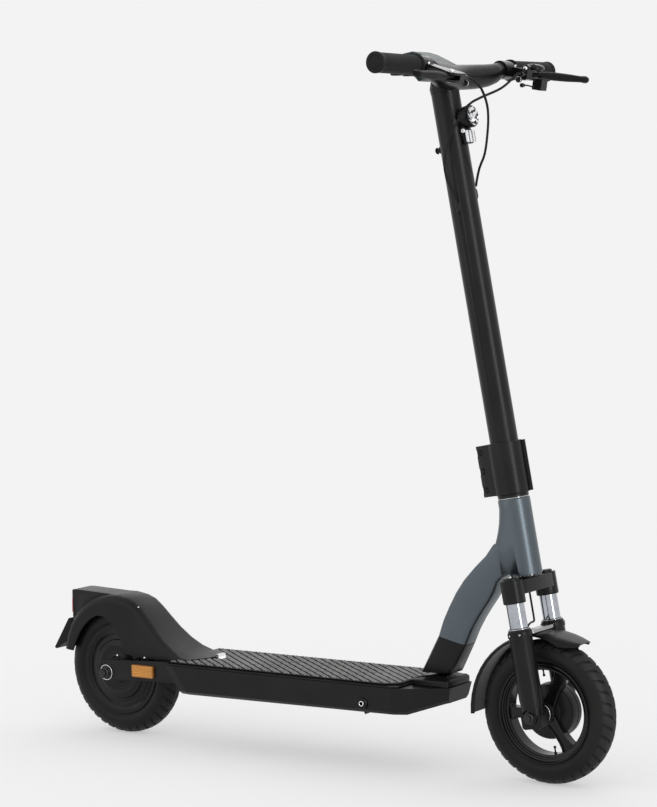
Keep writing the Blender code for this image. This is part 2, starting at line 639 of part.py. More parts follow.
def neck():
    """Head tube with the curved arm down to the deck's nose, and the black foot of that arm."""
    def section(middle, across, depth, half):
        """Ring of the arm: rounded corners, narrower on the underside."""
        ring = []
        for u, y in rounded(depth, half, NECK_CORNER, (0, 0), 3):
            narrow = 1 - (1 - NECK_UNDERSIDE) * (depth - u) / (2 * depth)
            ring.append((middle.x + across.x * u, y * narrow, middle.y + across.y * u))
        return ring

    arm = []
    for high, low, half in NECK_STATIONS:
        top, under = Vector(steer_to_world(*high)), Vector(steer_to_world(*low))
        across = top - under
        arm.append(section((top + under) / 2, across.normalized(), across.length / 2, half))
    tube = turned("neck", [(HEAD_R, HEAD_LOW), (HEAD_R, HEAD_HIGH - 0.002), (HEAD_R - 0.001, HEAD_HIGH)],
                  "slate_paint", STEER, steps=32)
    tube.parent = None
    tube.matrix_world = Matrix.Translation((FRONT_X, 0, AXLE_Z)) @ Matrix.Rotation(-ALPHA, 4, "Y")
    fuse(tube, skin("neck_arm_tool", arm, "slate_paint"))
    throat = []
    for s, reach, square in THROAT_STATIONS:
        half = min(HEAD_R + THROAT_SWELL, reach)
        ring = []
        for i in range(32):
            turn = 2 * math.pi * i / 32
            across, back = math.sin(turn), -math.cos(turn)
            if back < 0:
                x = -reach * abs(back) ** (2 / square)
                y = math.copysign(half * abs(across) ** (2 / square), across)
            else:
                x, y = THROAT_FRONT * back, half * across
            wx, wz = steer_to_world(x, s)
            ring.append((wx, y, wz))
        throat.append(ring)
    fuse(tube, skin("neck_throat_tool", throat, "slate_paint"))
    bore = [(STEERER_R + 0.0025, HEAD_LOW - 0.01), (STEERER_R + 0.0025, HEAD_HIGH + 0.01)]
    low_seat = [(BEARING_R, HEAD_LOW - 0.02), (BEARING_R, HEAD_LOW + BEARING_SEAT)]
    high_seat = [(BEARING_R, HEAD_HIGH - BEARING_SEAT), (BEARING_R, HEAD_HIGH + 0.02)]
    for i, profile in enumerate((bore, low_seat, high_seat)):
        tool = turned("neck_bore_%d" % i, profile, "slate_paint", None, steps=32)
        tool.matrix_world = tube.matrix_world
        cut(tube, tool)
    foot_low = TUB_TOP + GAP
    high, low, neck_half = NECK_STATIONS[0]
    away = Vector(steer_to_world(*NECK_STATIONS[1][0])) - Vector(steer_to_world(*high))
    away = away.normalized() * -GAP
    top, under = Vector(steer_to_world(*high)) + away, Vector(steer_to_world(*low)) + away
    back, front = FRONT_X - FOOT_BACK, FRONT_X - FOOT_FRONT
    shoulder = foot_low + 0.022
    shoulder_half = neck_half + 0.002
    flange = (
        (FOOT_HALF, back - 0.014, front + 0.004, foot_low),
        (FOOT_HALF, back - 0.014, front + 0.004, foot_low + 0.010),
        (FOOT_HALF - 0.005, back - 0.005, front + 0.0015, foot_low + 0.0145),
    )
    foot = []
    for half, x0, x1, z in flange:
        outline = rounded((x1 - x0) / 2, half, NECK_CORNER, (0, 0), 3)
        foot.append([((x0 + x1) / 2 + u, y, z) for u, y in outline])
    for share in (0.0, 0.5, 1.0):
        a = Vector((back, shoulder)).lerp(top, share)
        b = Vector((front, shoulder)).lerp(under, share)
        across = a - b
        half = shoulder_half + (neck_half - shoulder_half) * share
        foot.append(list(reversed(section((a + b) / 2, across.normalized(), across.length / 2, half))))
    skin("neck_base", foot, "black_paint")


def headset():
    """Upper and lower steering bearings, pressed in the head tube's seats."""
    inner = STEERER_R + GAP
    lip = HEAD_R - 0.0012
    low = [(inner, HEAD_LOW - GAP - BEARING_LIP), (lip, HEAD_LOW - GAP - BEARING_LIP), (lip, HEAD_LOW - GAP),
           (BEARING_R - GAP, HEAD_LOW - GAP), (BEARING_R - GAP, HEAD_LOW + BEARING_SEAT - GAP),
           (inner, HEAD_LOW + BEARING_SEAT - GAP)]
    high = [(inner, HEAD_HIGH - BEARING_SEAT + GAP), (BEARING_R - GAP, HEAD_HIGH - BEARING_SEAT + GAP),
            (BEARING_R - GAP, HEAD_HIGH + GAP), (lip, HEAD_HIGH + GAP), (lip, HEAD_HIGH + GAP + BEARING_LIP),
            (inner, HEAD_HIGH + GAP + BEARING_LIP)]
    for name, profile in (("headset_lower", low), ("headset_upper", high)):
        piece = turned(name, profile, "steel", None, steps=24, hollow=True)
        piece.matrix_world = Matrix.Translation((FRONT_X, 0, AXLE_Z)) @ Matrix.Rotation(-ALPHA, 4, "Y")


def steering_parts():
    """Steerer with the fold hinge's plug on top, fork crown and the two chromed stanchions."""
    disc_low = HEAD_HIGH + 2 * GAP + BEARING_LIP
    disc_high = COLLAR_LOW - 0.0006
    profile = [(STEERER_BORE, CROWN_BRIDGE_LOW + 0.002), (STEERER_R, CROWN_BRIDGE_LOW + 0.002),
               (STEERER_R, disc_low), (HEAD_R - 0.001, disc_low), (HEAD_R - 0.001, disc_high),
               (PLUG_R, disc_high), (PLUG_R, PLUG_TOP - 0.004), (PLUG_R - 0.003, PLUG_TOP),
               (STEERER_BORE, PLUG_TOP)]
    steerer = turned("steerer_tube", profile, "black_paint", STEER, steps=24, hollow=True)
    pin = (FOLD_PIN_X, FOLD_PIN_S)
    tongue = arc(pin, 0.0078, 90, 270, 6)
    tongue += [(-STEERER_BORE - 0.003, FOLD_PIN_S - 0.0078), (-STEERER_BORE - 0.003, FOLD_PIN_S + 0.0078)]
    fuse(steerer, slab("tongue_tool", tongue, -SLIT_HALF + 0.0008, SLIT_HALF - 0.0008, "black_paint", STEER))
    fuse(steerer, turned("fold_pin_tool", [(PIN_R, -EAR_HALF - 0.001), (PIN_R, EAR_HALF + 0.001)],
                         "steel", STEER, "Y", (FOLD_PIN_X, 0, FOLD_PIN_S), steps=16))
    bridge = rounded(0.0225, LEG_SPREAD, 0.012, (0, 0), 3)
    crown = slab("fork_crown", bridge, CROWN_BRIDGE_LOW, CROWN_HIGH - 0.0012, "black_paint", STEER, "XY")
    for side in (-1, 1):
        centre = (LEG_X, side * LEG_SPREAD, 0)
        boss = [(BOSS_R - 0.0015, CROWN_LOW), (BOSS_R, CROWN_LOW + 0.0015), (BOSS_R, CROWN_HIGH),
                (0.014, CROWN_HIGH), (0.014, CROWN_HIGH + 0.0030), (0.012, CROWN_HIGH + 0.0045)]
        fuse(crown, turned("crown_boss_%d" % side, boss, "black_paint", STEER, "Z", centre, steps=24))
        hole = [(STANCHION_R + GAP, CROWN_LOW - 0.01), (STANCHION_R + GAP, CROWN_HIGH - 0.006)]
        cut(crown, turned("crown_bore_%d" % side, hole, "black_paint", STEER, "Z", centre, steps=24))
        tube = [(0.0130, 0.050), (STANCHION_R, 0.050), (STANCHION_R, CROWN_HIGH - 0.006 - GAP),
                (0.0130, CROWN_HIGH - 0.006 - GAP)]
        turned("stanchion_right" if side < 0 else "stanchion_left", tube, "chrome", STEER, "Z", centre,
               steps=24, hollow=True)
    hole = [(STEERER_R + GAP, CROWN_BRIDGE_LOW + 0.0017), (STEERER_R + GAP, CROWN_HIGH + 0.01)]
    cut(crown, turned("crown_steerer_bore", hole, "black_paint", STEER, steps=24))
    cable = [(0.0045, CROWN_BRIDGE_LOW - 0.01), (0.0045, CROWN_HIGH + 0.01)]
    cut(crown, turned("crown_cable_hole", cable, "black_paint", STEER, steps=12))


def coil(name, centre, radius, wire, low, high, turns):
    """Helical spring made as one unbroken tube."""
    curve = bpy.data.curves.new(name, "CURVE")
    curve.dimensions = "3D"
    curve.bevel_depth = wire
    curve.bevel_resolution = 0
    curve.use_fill_caps = True
    steps = turns * 8
    line = curve.splines.new("POLY")
    line.points.add(steps)
    for i in range(steps + 1):
        a = 2 * math.pi * i / 8
        line.points[i].co = (centre[0] + radius * math.cos(a), centre[1] + radius * math.sin(a),
                             low + (high - low) * i / steps, 1.0)
    curve.materials.append(material("steel"))
    piece = bpy.data.objects.new(name, curve)
    bpy.context.collection.objects.link(piece)
    piece.parent = FORK
    return piece


def fork_lowers():
    """Lower legs with dropouts, their springs, the bridge, axle, nut, fender and brake plate."""
    for side in (-1, 1):
        tag = "right" if side < 0 else "left"
        centre = (LEG_X, side * LEG_SPREAD, 0)
        profile = [(0.0150, -0.004), (LEG_R - 0.002, 0.004), (LEG_R - 0.001, 0.020), (LEG_R, 0.030),
                   (LEG_R, LEG_TOP - 0.010), (LEG_R + 0.0012, LEG_TOP - 0.009),
                   (LEG_R + 0.0012, LEG_TOP - 0.001), (LEG_R - 0.001, LEG_TOP), (LEG_BORE, LEG_TOP),
                   (LEG_BORE, 0.0155), (0.0030, 0.0155)]
        leg = turned("lower_leg_" + tag, profile, "satin_black", FORK, "Z", centre, steps=24)
        foot = rounded(0.0185, 0.0165, 0.005, (0, -0.003), 2)
        inner, outer = side * (LEG_SPREAD - 0.0185), side * (LEG_SPREAD + 0.0105)
        low, high = sorted((inner, outer))
        fuse(leg, slab("leg_foot_" + tag, foot, low, high, "satin_black", FORK))
        hole = turned("leg_hole_" + tag, [(SPIGOT_R + GAP, -0.04), (SPIGOT_R + GAP, 0.04)], "satin_black",
                      FORK, "Y", (0, side * LEG_SPREAD, 0), steps=16)
        cut(leg, hole)
        face = LEG_SPREAD + 0.010
        spot = [(0.0145, side * face), (0.0145, side * (face + 0.02))]
        cut(leg, turned("leg_spotface_" + tag, spot, "satin_black", FORK, "Y", steps=20))
        coil("fork_spring_" + tag, centre, 0.0105, 0.0018, 0.0185, 0.128, 6)
    inner = LEG_SPREAD - 0.0185
    head = LEG_SPREAD + 0.010 + GAP
    axle = [(SPIGOT_R, -head - 0.0105), (SPIGOT_R, head), (0.0105, head), (0.0105, head + 0.007)]
    turned("front_axle", axle, "steel", FORK, "Y", steps=16)
    bore = SPIGOT_R + GAP
    nut = [(bore, -head - 0.0085), (0.0092, -head - 0.0085), (0.0102, -head - 0.0072),
           (0.0102, -head - 0.0015), (0.0125, -head - 0.0015), (0.0125, -head), (bore, -head)]
    turned("front_nut", nut, "steel", FORK, "Y", steps=12, hollow=True)
    plate = [(bore, 0.0268), (0.0415, 0.0268), (0.0455, 0.0268), (0.0455, 0.0300), (0.018, 0.0325),
             (0.0105, inner - GAP), (bore, inner - GAP)]
    brake = turned("brake_plate", plate, "satin_black", FORK, "Y", steps=32, hollow=True)
    shoes = turned("brake_shoe_tool", [(0.024, 0.0085), (0.0405, 0.0085), (0.0405, 0.0275), (0.024, 0.0275)],
                   "satin_black", FORK, "Y", steps=24, hollow=True)
    fuse(brake, shoes)
    pin = turned("brake_cam_tool", [(0.0034, 0.0305), (0.0034, ARM_OUT + 0.002)], "steel", FORK, "Y", CAM,
                 steps=12)
    fuse(brake, pin)
    bridge_low = FENDER_R + GAP
    bridge = rounded(0.013, LEG_SPREAD - LEG_R - 0.0012 - GAP, 0.001, (LEG_X, 0), 1)
    slab("fork_brace", bridge, bridge_low, bridge_low + 0.0055, "steel", FORK, "XY")
    front_fender()


def front_fender():
    """Mudguard: an arched strip with side lips round the tyre, flared at its front end."""
    first, last = math.radians(50.0), math.radians(175.0)
    rings = []
    steps = 18
    for i in range(steps + 1):
        turn = first + (last - first) * i / steps
        share = i / steps
        lip = 0.004 + 0.011 * max(0.0, 1 - abs(share - 0.10) / 0.16) + 0.006 * share
        flick = 0.006 * max(0.0, 1 - share / 0.12) ** 2
        half = FENDER_HALF - 0.012 * max(0.0, 1 - share / 0.08)
        outer = [(-half, -lip), (-half, -0.003), (-half + 0.004, -0.0008), (-half * 0.45, 0.0),
                 (half * 0.45, 0.0), (half - 0.004, -0.0008), (half, -0.003), (half, -lip)]
        inner = []
        for y, r in reversed(outer):
            on_edge = abs(y) > half - 0.001
            inner.append((y * (1 - FENDER_T / half), r) if on_edge else (y, r - FENDER_T))
        inner[0], inner[-1] = (half - 0.0022, -lip), (-half + 0.0022, -lip)
        inner[1], inner[-2] = (half - 0.0022, -0.0045), (-half + 0.0022, -0.0045)
        ring = []
        for y, r in outer + inner:
            radius = FENDER_R + r + flick + 0.0050 * max(0.0, (share - 0.42) / 0.58) ** 1.5
            ring.append((radius * math.cos(turn), y, radius * math.sin(turn)))
        rings.append(ring)
    skin("front_fender", rings, "satin_black", FORK, folded=True)


def front_brake_arm():
    """Arm of the front drum brake on its cam, with a cable eye at its rear end."""
    arm_frame = empty("brake_arm_axis", CAM, FORK)
    outline = arc((0, 0), 0.0062, -90, 90, 6) + [(-ARM_REACH, 0.0045), (-ARM_REACH, -0.0045)]
    arm = slab("front_brake_arm", outline, ARM_IN, ARM_OUT, "steel", arm_frame)
    hole = [(0.0034 + GAP, ARM_IN - 0.01), (0.0034 + GAP, ARM_OUT + 0.01)]
    cut(arm, turned("brake_arm_hole", hole, "steel", arm_frame, "Y", steps=12))


def cord(name, points, radius, finish, frame, shift):
    """A bent cable along its route: a round tube on a smooth curve through the points."""
    curve = bpy.data.curves.new(name, "CURVE")
    curve.dimensions = "3D"
    curve.bevel_depth = radius
    curve.bevel_resolution = 2
    curve.use_fill_caps = True
    route = smooth(points, radius * 5.0)
    line = curve.splines.new("POLY")
    line.points.add(len(route) - 1)
    for spot, point in zip(line.points, route):
        spot.co = (*point, 1.0)
    curve.materials.append(material(finish))
    piece = bpy.data.objects.new(name, curve)
    bpy.context.collection.objects.link(piece)
    piece.parent = frame
    piece.location = shift
    return piece


def smooth(points, step):
    """Evenly spaced points of a Catmull-Rom curve through the given points."""
    knots = [Vector(p) for p in points]
    knots = [knots[0] * 2 - knots[1]] + knots + [knots[-1] * 2 - knots[-2]]
    fine = []
    for a, b, c, d in zip(knots, knots[1:], knots[2:], knots[3:]):
        for i in range(20):
            t = i / 20
            fine.append(0.5 * (2 * b + (c - a) * t + (2 * a - 5 * b + 4 * c - d) * t * t
                               + (3 * b - a - 3 * c + d) * t ** 3))
    fine.append(knots[-2])
    total = sum((q - p).length for p, q in zip(fine, fine[1:]))
    count = max(2, round(total / step))
    route, gone, wanted = [fine[0]], 0.0, total / count
    for p, q in zip(fine, fine[1:]):
        span = (q - p).length
        while gone + span >= wanted - 1e-9 and len(route) < count:
            route.append(p.lerp(q, (wanted - gone) / span))
            wanted += total / count
        gone += span
    route.append(fine[-1])
    return route


def fold_collar():
    """Clamp collar round the stem's foot: bored, slit at the back between two ears, with a lever hinge."""
    profile = [(COLLAR_R - 0.0008, COLLAR_LOW), (COLLAR_R, COLLAR_LOW + 0.0008),
               (COLLAR_R, COLLAR_HIGH - 0.0008), (COLLAR_R - 0.0008, COLLAR_HIGH)]
    collar = turned("fold_collar", profile, "black_paint", FOLD, shift=ON_FOLD, steps=32)
    height = (COLLAR_LOW + 0.0005, COLLAR_HIGH - 0.0005)
    ears = [(-EAR_REACH, -EAR_HALF + 0.002), (-EAR_REACH + 0.002, -EAR_HALF), (-0.018, -EAR_HALF - 0.006),
            (-0.018, EAR_HALF + 0.006), (-EAR_REACH + 0.002, EAR_HALF), (-EAR_REACH, EAR_HALF - 0.002)]
    fuse(collar, slab("collar_ears_tool", ears, *height, "black_paint", FOLD, "XY", ON_FOLD))
    for i, (low, high) in enumerate(((COLLAR_LOW, COLLAR_LOW + 0.012), (COLLAR_HIGH - 0.012, COLLAR_HIGH))):
        lug = [circle(0.0050, along, 12, "Z", (*LEVER_HINGE, 0)) for along in (low, high)]
        fuse(collar, skin("collar_lug_%d" % i, lug, "black_paint", FOLD, ON_FOLD))
        bore = [circle(0.0023, low + 0.0055 - 0.012 * i, 10, "Z", (*LEVER_HINGE, 0)),
                circle(0.0023, high + 0.012 - 0.0175 * i, 10, "Z", (*LEVER_HINGE, 0))]
        cut(collar, skin("collar_lug_bore_%d" % i, bore, "black_paint", FOLD, ON_FOLD))
    slit = [(-EAR_REACH - 0.01, -SLIT_HALF), (-0.010, -SLIT_HALF),
            (-0.010, SLIT_HALF), (-EAR_REACH - 0.01, SLIT_HALF)]
    cut(collar, slab("collar_slit_tool", slit, COLLAR_LOW - 0.01, COLLAR_HIGH + 0.01, "black_paint", FOLD,
                     "XY", ON_FOLD))
    seat = PLUG_TOP + 0.006
    low_bore = [(PLUG_R + 0.0045, COLLAR_LOW - 0.01), (PLUG_R + 0.0045, seat)]
    high_bore = [(STEM_R + GAP, seat - 0.001), (STEM_R + GAP, COLLAR_HIGH + 0.01)]
    for i, bore in enumerate((low_bore, high_bore)):
        cut(collar, turned("collar_bore_%d" % i, bore, "black_paint", FOLD, shift=ON_FOLD, steps=32))
    for i, s in enumerate((FOLD_PIN_S + 0.001, (COLLAR_LOW + COLLAR_HIGH) / 2, COLLAR_HIGH - 0.013)):
        for side in (-1, 1):
            notch = [(-EAR_REACH - 0.01, s - 0.0055), (-EAR_REACH + 0.013, s - 0.0055),
                     (-EAR_REACH + 0.013, s + 0.0055), (-EAR_REACH - 0.01, s + 0.0055)]
            low, high = sorted((side * (EAR_HALF - 0.0035), side * (EAR_HALF + 0.01)))
            cut(collar, slab("collar_notch_%d_%d" % (i, side), notch, low, high, "black_paint", FOLD,
                             "XZ", ON_FOLD))
        if i:
            head = EAR_HALF - 0.0005
            screw = turned("collar_screw_%d" % i, [(0.0042, -head), (0.0042, head)], "steel", FOLD, "Y",
                           (FOLD_PIN_X - 0.001, 0, s), ON_FOLD, steps=12)
            fuse(collar, screw)
    cut(collar, turned("collar_pin_hole", [(PIN_R + GAP, -0.03), (PIN_R + GAP, 0.03)], "steel", FOLD, "Y",
                       (FOLD_PIN_X, 0, FOLD_PIN_S), ON_FOLD, steps=16))
    lever_frame = empty("fold_lever_axis", (LEVER_HINGE[0] - FOLD_PIN_X, LEVER_HINGE[1], -FOLD_PIN_S), FOLD)
    shift = (-LEVER_HINGE[0], -LEVER_HINGE[1], 0)
    inner, outer = COLLAR_R + GAP, COLLAR_R + 0.0060
    blade = arc((0, 0), inner, 72, 20, 8) + arc((0, 0), outer, 20, 72, 8)
    lever = slab("fold_lever", blade, COLLAR_LOW + 0.001, COLLAR_HIGH - 0.001, "black_paint", lever_frame,
                 "XY", shift)
    low, high = COLLAR_LOW + 0.0125, COLLAR_HIGH - 0.0125
    web = arc((0, 0), inner + 0.0003, 80, 68, 2) + arc((0, 0), outer - 0.0004, 68, 80, 2)
    fuse(lever, slab("lever_web_tool", web, low, high, "black_paint", lever_frame, "XY", shift))
    knuckle = [circle(0.0039, s, 12, "Z", (0, 0, 0)) for s in (low - 0.0001, high + 0.0001)]
    fuse(lever, skin("lever_knuckle_tool", knuckle, "black_paint", lever_frame))
    stub = [circle(0.0019, s, 10, "Z", (0, 0, 0)) for s in (COLLAR_LOW + 0.0065, COLLAR_HIGH - 0.0065)]
    fuse(lever, skin("lever_pin_tool", stub, "steel", lever_frame))


def bar_centre(y):
    """Centre of the handlebar in the steering frame at a distance from its middle."""
    share = min(1.0, abs(y) / BAR_OUT)
    ease = share * share * (3 - 2 * share)
    beyond = max(0.0, abs(y) - BAR_OUT) / (BAR_HALF - BAR_OUT)
    x = BAR_X + BAR_SWEEP * ease + 0.0040 * beyond
    s = BAR_S + BAR_RISE * share ** 6 + 0.0006 * beyond
    return x, s


def bar_half(y):
    """Half-thicknesses of the handlebar forward and up at a distance from its middle."""
    if abs(y) > BAR_SHOULDER_Y:
        return BAR_R, BAR_R
    share = max(0.0, (abs(y) - 0.012) / (BAR_SHOULDER_Y - 0.012))
    ease = share * share * (3 - 2 * share)
    half_x = BAR_CORE_X + (BAR_SHOULDER_R - BAR_CORE_X) * ease
    return half_x, BAR_CORE_S + (BAR_SHOULDER_R - BAR_CORE_S) * share ** 3


def bar_ring(y, half_x, half_s, steps=16, offset=(0.0, 0.0)):
    x, s = bar_centre(y)
    ring = []
    for i in range(steps):
        a = 2 * math.pi * i / steps
        ring.append((x + offset[0] + half_x * math.cos(a), y, s + offset[1] + half_s * math.sin(a)))
    return ring


def bar_body(name, extra, finish, frame, shift):
    end = BAR_HALF - 0.003 - GAP
    stations = [-end, -(end + BAR_OUT) / 2, -BAR_OUT, -BAR_STEP_Y]
    stations += [-BAR_SHOULDER_Y * share for share in (1.0, 0.863, 0.722, 0.581, 0.440, 0.300, 0.159, 0.0)]
    stations += [-y for y in reversed(stations[:-1])]
    rings = []
    for y in stations:
        half_x, half_s = bar_half(y)
        rings.append(bar_ring(y, half_x + extra, half_s + extra))
    return skin(name, rings, finish, frame, shift)


def handlebar():
    bar = bar_body("handlebar", 0.0, "black_paint", FOLD, ON_FOLD)
    spigot_r = STEM_R - STEM_WALL - GAP
    socket_profile = [(spigot_r, STEM_TOP - 0.030), (spigot_r, STEM_TOP + GAP),
                      (STEM_R + 0.0006, STEM_TOP + GAP), (STEM_R + 0.0012, STEM_TOP + 0.010),
                      (STEM_R - 0.003, BAR_S)]
    fuse(bar, turned("bar_socket_tool", socket_profile, "black_paint", FOLD, shift=ON_FOLD, steps=24))
    tube = [(STEM_R - STEM_WALL, PLUG_TOP + 0.0065), (STEM_R, PLUG_TOP + 0.0065), (STEM_R, STEM_TOP),
            (STEM_R - STEM_WALL, STEM_TOP)]
    stem = turned("stem_tube", tube, "black_paint", FOLD, shift=ON_FOLD, steps=32, hollow=True)
    for i, (x, y, s) in enumerate((GROMMET_RIGHT, GROMMET_LEFT)):
        boss = []
        reach = math.hypot(x, y)
        out = Vector((x / reach, y / reach, 0))
        side = Vector((-out.y, out.x, 0))
        for depth, half_w, half_s in ((STEM_R - 0.0016, 0.0050, 0.011), (STEM_R + 0.0015, 0.0045, 0.010),
                                      (STEM_R + 0.0032, 0.0030, 0.0070)):
            ring = [tuple(out * depth + side * u + Vector((0, 0, s - 0.0125 + v)))
                    for u, v in rounded(half_w, half_s, half_w * 0.9, (0, 0), 3)]
            boss.append(ring)
        fuse(stem, skin("grommet_tool_%d" % i, boss, "black_paint", FOLD, ON_FOLD))
    bevel = bar_body("display_cut_tool", GAP, "black_paint", FOLD, ON_FOLD)
    side = [(-0.0330, 0.0040), (-0.0520, 0.0320), (-0.0580, 0.0520), (-0.0550, 0.0575), (-0.0350, 0.0570),
            (-0.0190, 0.0490), (-0.0020, 0.0370), (0.0140, 0.0250), (0.0150, 0.0130)]
    middle_x, middle_s = -0.018, 0.028
    pod = []
    for y, scale in ((-0.0310, 0.90), (-0.0270, 1.0), (0.0270, 1.0), (0.0310, 0.90)):
        pod.append([(middle_x + (x - middle_x) * scale, y, BAR_S + middle_s + (s - middle_s) * scale)
                    for x, s in side])
    display = skin("display", pod, "glass", FOLD, ON_FOLD)
    cut(display, bevel)


def perch_tilt(side):
    """Angle of a brake lever's frame below the horizontal on the right (-1) or left (1) side."""
    return math.radians(PERCH_TILT_RIGHT_DEG if side < 0 else PERCH_TILT_LEFT_DEG)


def perch_point(y, e, n):
    """A point of a brake lever's frame: y along the bar, e out from the bar and down, n square to both."""
    x, s = bar_centre(y)
    tilt = perch_tilt(y)
    return (x + e * math.cos(tilt) - n * math.sin(tilt), y, s + e * math.sin(tilt) + n * math.cos(tilt))


def perch_block(name, outline, low, high, side, finish, frame, shift, base_y):
    """A prism drawn in a brake lever's frame: outline in (distance out along the bar, e)."""
    rings = []
    for n in (low, high):
        ring = []
        for y, e in outline:
            x, s = bar_centre(base_y)
            tilt = perch_tilt(side)
            ring.append((x + e * math.cos(tilt) - n * math.sin(tilt), side * y,
                         s + e * math.sin(tilt) + n * math.cos(tilt)))
        rings.append(ring)
    return skin(name, rings, finish, frame, shift)


def bar_rod(name, side, y0, y1, radius, finish):
    """A round rod that follows the handlebar on one side."""
    stations = [y0] + [y for y in (BAR_OUT - 0.023, BAR_OUT) if y0 < y < y1] + [y1]
    rings = [bar_ring(side * y, radius, radius, 20) for y in stations]
    return skin(name, rings, finish, FOLD, ON_FOLD)


def controls():
    """Grips, brake lever perches with their levers, thumb throttle and horn button."""
    for side in (-1, 1):
        tag = "right" if side < 0 else "left"
        start = side * (BAR_HALF - GRIP_LEN)
        end = side * (BAR_HALF - 0.003)
        steps = 20
        inner = BAR_R + GAP
        rings = [bar_ring(end, inner, inner, steps), bar_ring(start, inner, inner, steps),
                 bar_ring(start, GRIP_R + 0.0022, GRIP_R + 0.0022, steps),
                 bar_ring(start + side * 0.004, GRIP_R + 0.0022, GRIP_R + 0.0022, steps),
                 bar_ring(start + side * 0.006, GRIP_R - 0.0006, GRIP_R - 0.0006, steps),
                 bar_ring(side * (BAR_HALF - 0.045), GRIP_R + 0.0004, GRIP_R + 0.0004, steps),
                 bar_ring(side * (BAR_HALF - 0.008), GRIP_R, GRIP_R, steps),
                 bar_ring(side * (BAR_HALF - 0.004), GRIP_R + 0.0016, GRIP_R + 0.0016, steps),
                 bar_ring(side * (BAR_HALF - 0.0008), GRIP_R + 0.0012, GRIP_R + 0.0012, steps),
                 bar_ring(side * BAR_HALF, GRIP_R - 0.0008, GRIP_R - 0.0008, steps)]
        skin("grip_" + tag, rings, "rubber", FOLD, ON_FOLD)
        ring = bar_rod("perch_" + tag, side, PERCH_IN, PERCH_OUT, BAR_R + 0.0050, "satin_black")
        body = [(PERCH_OUT - 0.002, 0.0085), (PERCH_OUT - 0.004, LEVER_REACH + 0.009),
                (LEVER_Y + 0.003, LEVER_REACH + 0.013), (LEVER_Y - 0.010, LEVER_REACH + 0.013),
                (BARREL_END + 0.012, LEVER_REACH + 0.012),
                (BARREL_END + 0.012, LEVER_REACH + 0.0005), (PERCH_IN + 0.002, 0.024),
                (PERCH_IN + 0.001, 0.0085)]
        fuse(ring, perch_block("perch_body_" + tag, body, -0.0085, 0.0085, side, "satin_black", FOLD,
                               ON_FOLD, LEVER_Y))
        x, y, s = perch_point(side * LEVER_Y, LEVER_REACH + 0.0062, 0.0)
        barrel = [circle(0.0046, side * along, 12, "Y", (x, 0, s))
                  for along in (BARREL_END, BARREL_END + 0.014)]
        fuse(ring, skin("barrel_" + tag, barrel, "steel", FOLD, ON_FOLD))
        pocket = [(LEVER_Y + 0.035, LEVER_REACH - 0.0105), (LEVER_Y + 0.035, LEVER_REACH + 0.03),
                  (LEVER_Y - 0.0105, LEVER_REACH + 0.03), (LEVER_Y - 0.0105, LEVER_REACH - 0.0105)]
        cut(ring, perch_block("perch_pocket_" + tag, pocket, -0.0042, 0.0042, side, "satin_black", FOLD,
                              ON_FOLD, LEVER_Y))
        px, py, ps = perch_point(side * LEVER_Y, LEVER_REACH, 0.0)
        bore = [perch_disc(side, LEVER_Y, LEVER_REACH, 0.0033, n, 12) for n in (-0.02, 0.02)]
        cut(ring, skin("perch_bore_" + tag, bore, "satin_black", FOLD, ON_FOLD))
        lever_frame = empty("brake_lever_axis_" + tag, (px - FOLD_PIN_X, py, ps - FOLD_PIN_S), FOLD)
        lever_shift = (-px, -py, -ps)
        brake_lever(tag, side, lever_frame, lever_shift)
        if side < 0:
            throttle(ring)
        else:
            horn(ring)
        cut(ring, bar_rod("perch_bar_bore_" + tag, side, BARREL_END - 0.003, SWITCH_OUT + 0.002, inner,
                          "satin_black"))


def perch_disc(side, y, e, radius, n, steps):
    ring = []
    for i in range(steps):
        a = 2 * math.pi * i / steps
        x, s = bar_centre(LEVER_Y)
        tilt = perch_tilt(side)
        ee = e + radius * math.sin(a)
        ring.append((x + ee * math.cos(tilt) - n * math.sin(tilt), side * (y + radius * math.cos(a)),
                     s + ee * math.sin(tilt) + n * math.cos(tilt)))
    return ring


def brake_lever(tag, side, frame, shift):
    """Lever blade: an eye on the pivot, a knee and a long finger blade with a ball end."""
    tip_lift = BLADE_LIFT_RIGHT if side < 0 else BLADE_LIFT_LEFT
    rings = []
    for out, reach, half_e, half_n in BLADE_STATIONS:
        lift = tip_lift * max(0.0, (out - BLADE_KNEE) / (BLADE_STATIONS[-1][0] - BLADE_KNEE))
        ring = []
        for u, v in rounded(half_e, half_n, min(half_e, half_n) * 0.75, (0, 0), 2):
            x, s = bar_centre(LEVER_Y)
            tilt = perch_tilt(side)
            ee, nn = LEVER_REACH + reach + u, v + lift
            ring.append((x + ee * math.cos(tilt) - nn * math.sin(tilt), side * (LEVER_Y + out),
                         s + ee * math.sin(tilt) + nn * math.cos(tilt)))
        rings.append(ring)
    lever = skin("brake_lever_" + tag, rings, "black_paint", frame, shift)
    pin = [perch_disc(side, LEVER_Y, LEVER_REACH, 0.0030, n, 12) for n in (-0.0090, 0.0090)]
    fuse(lever, skin("lever_pin_" + tag, pin, "steel", frame, shift))


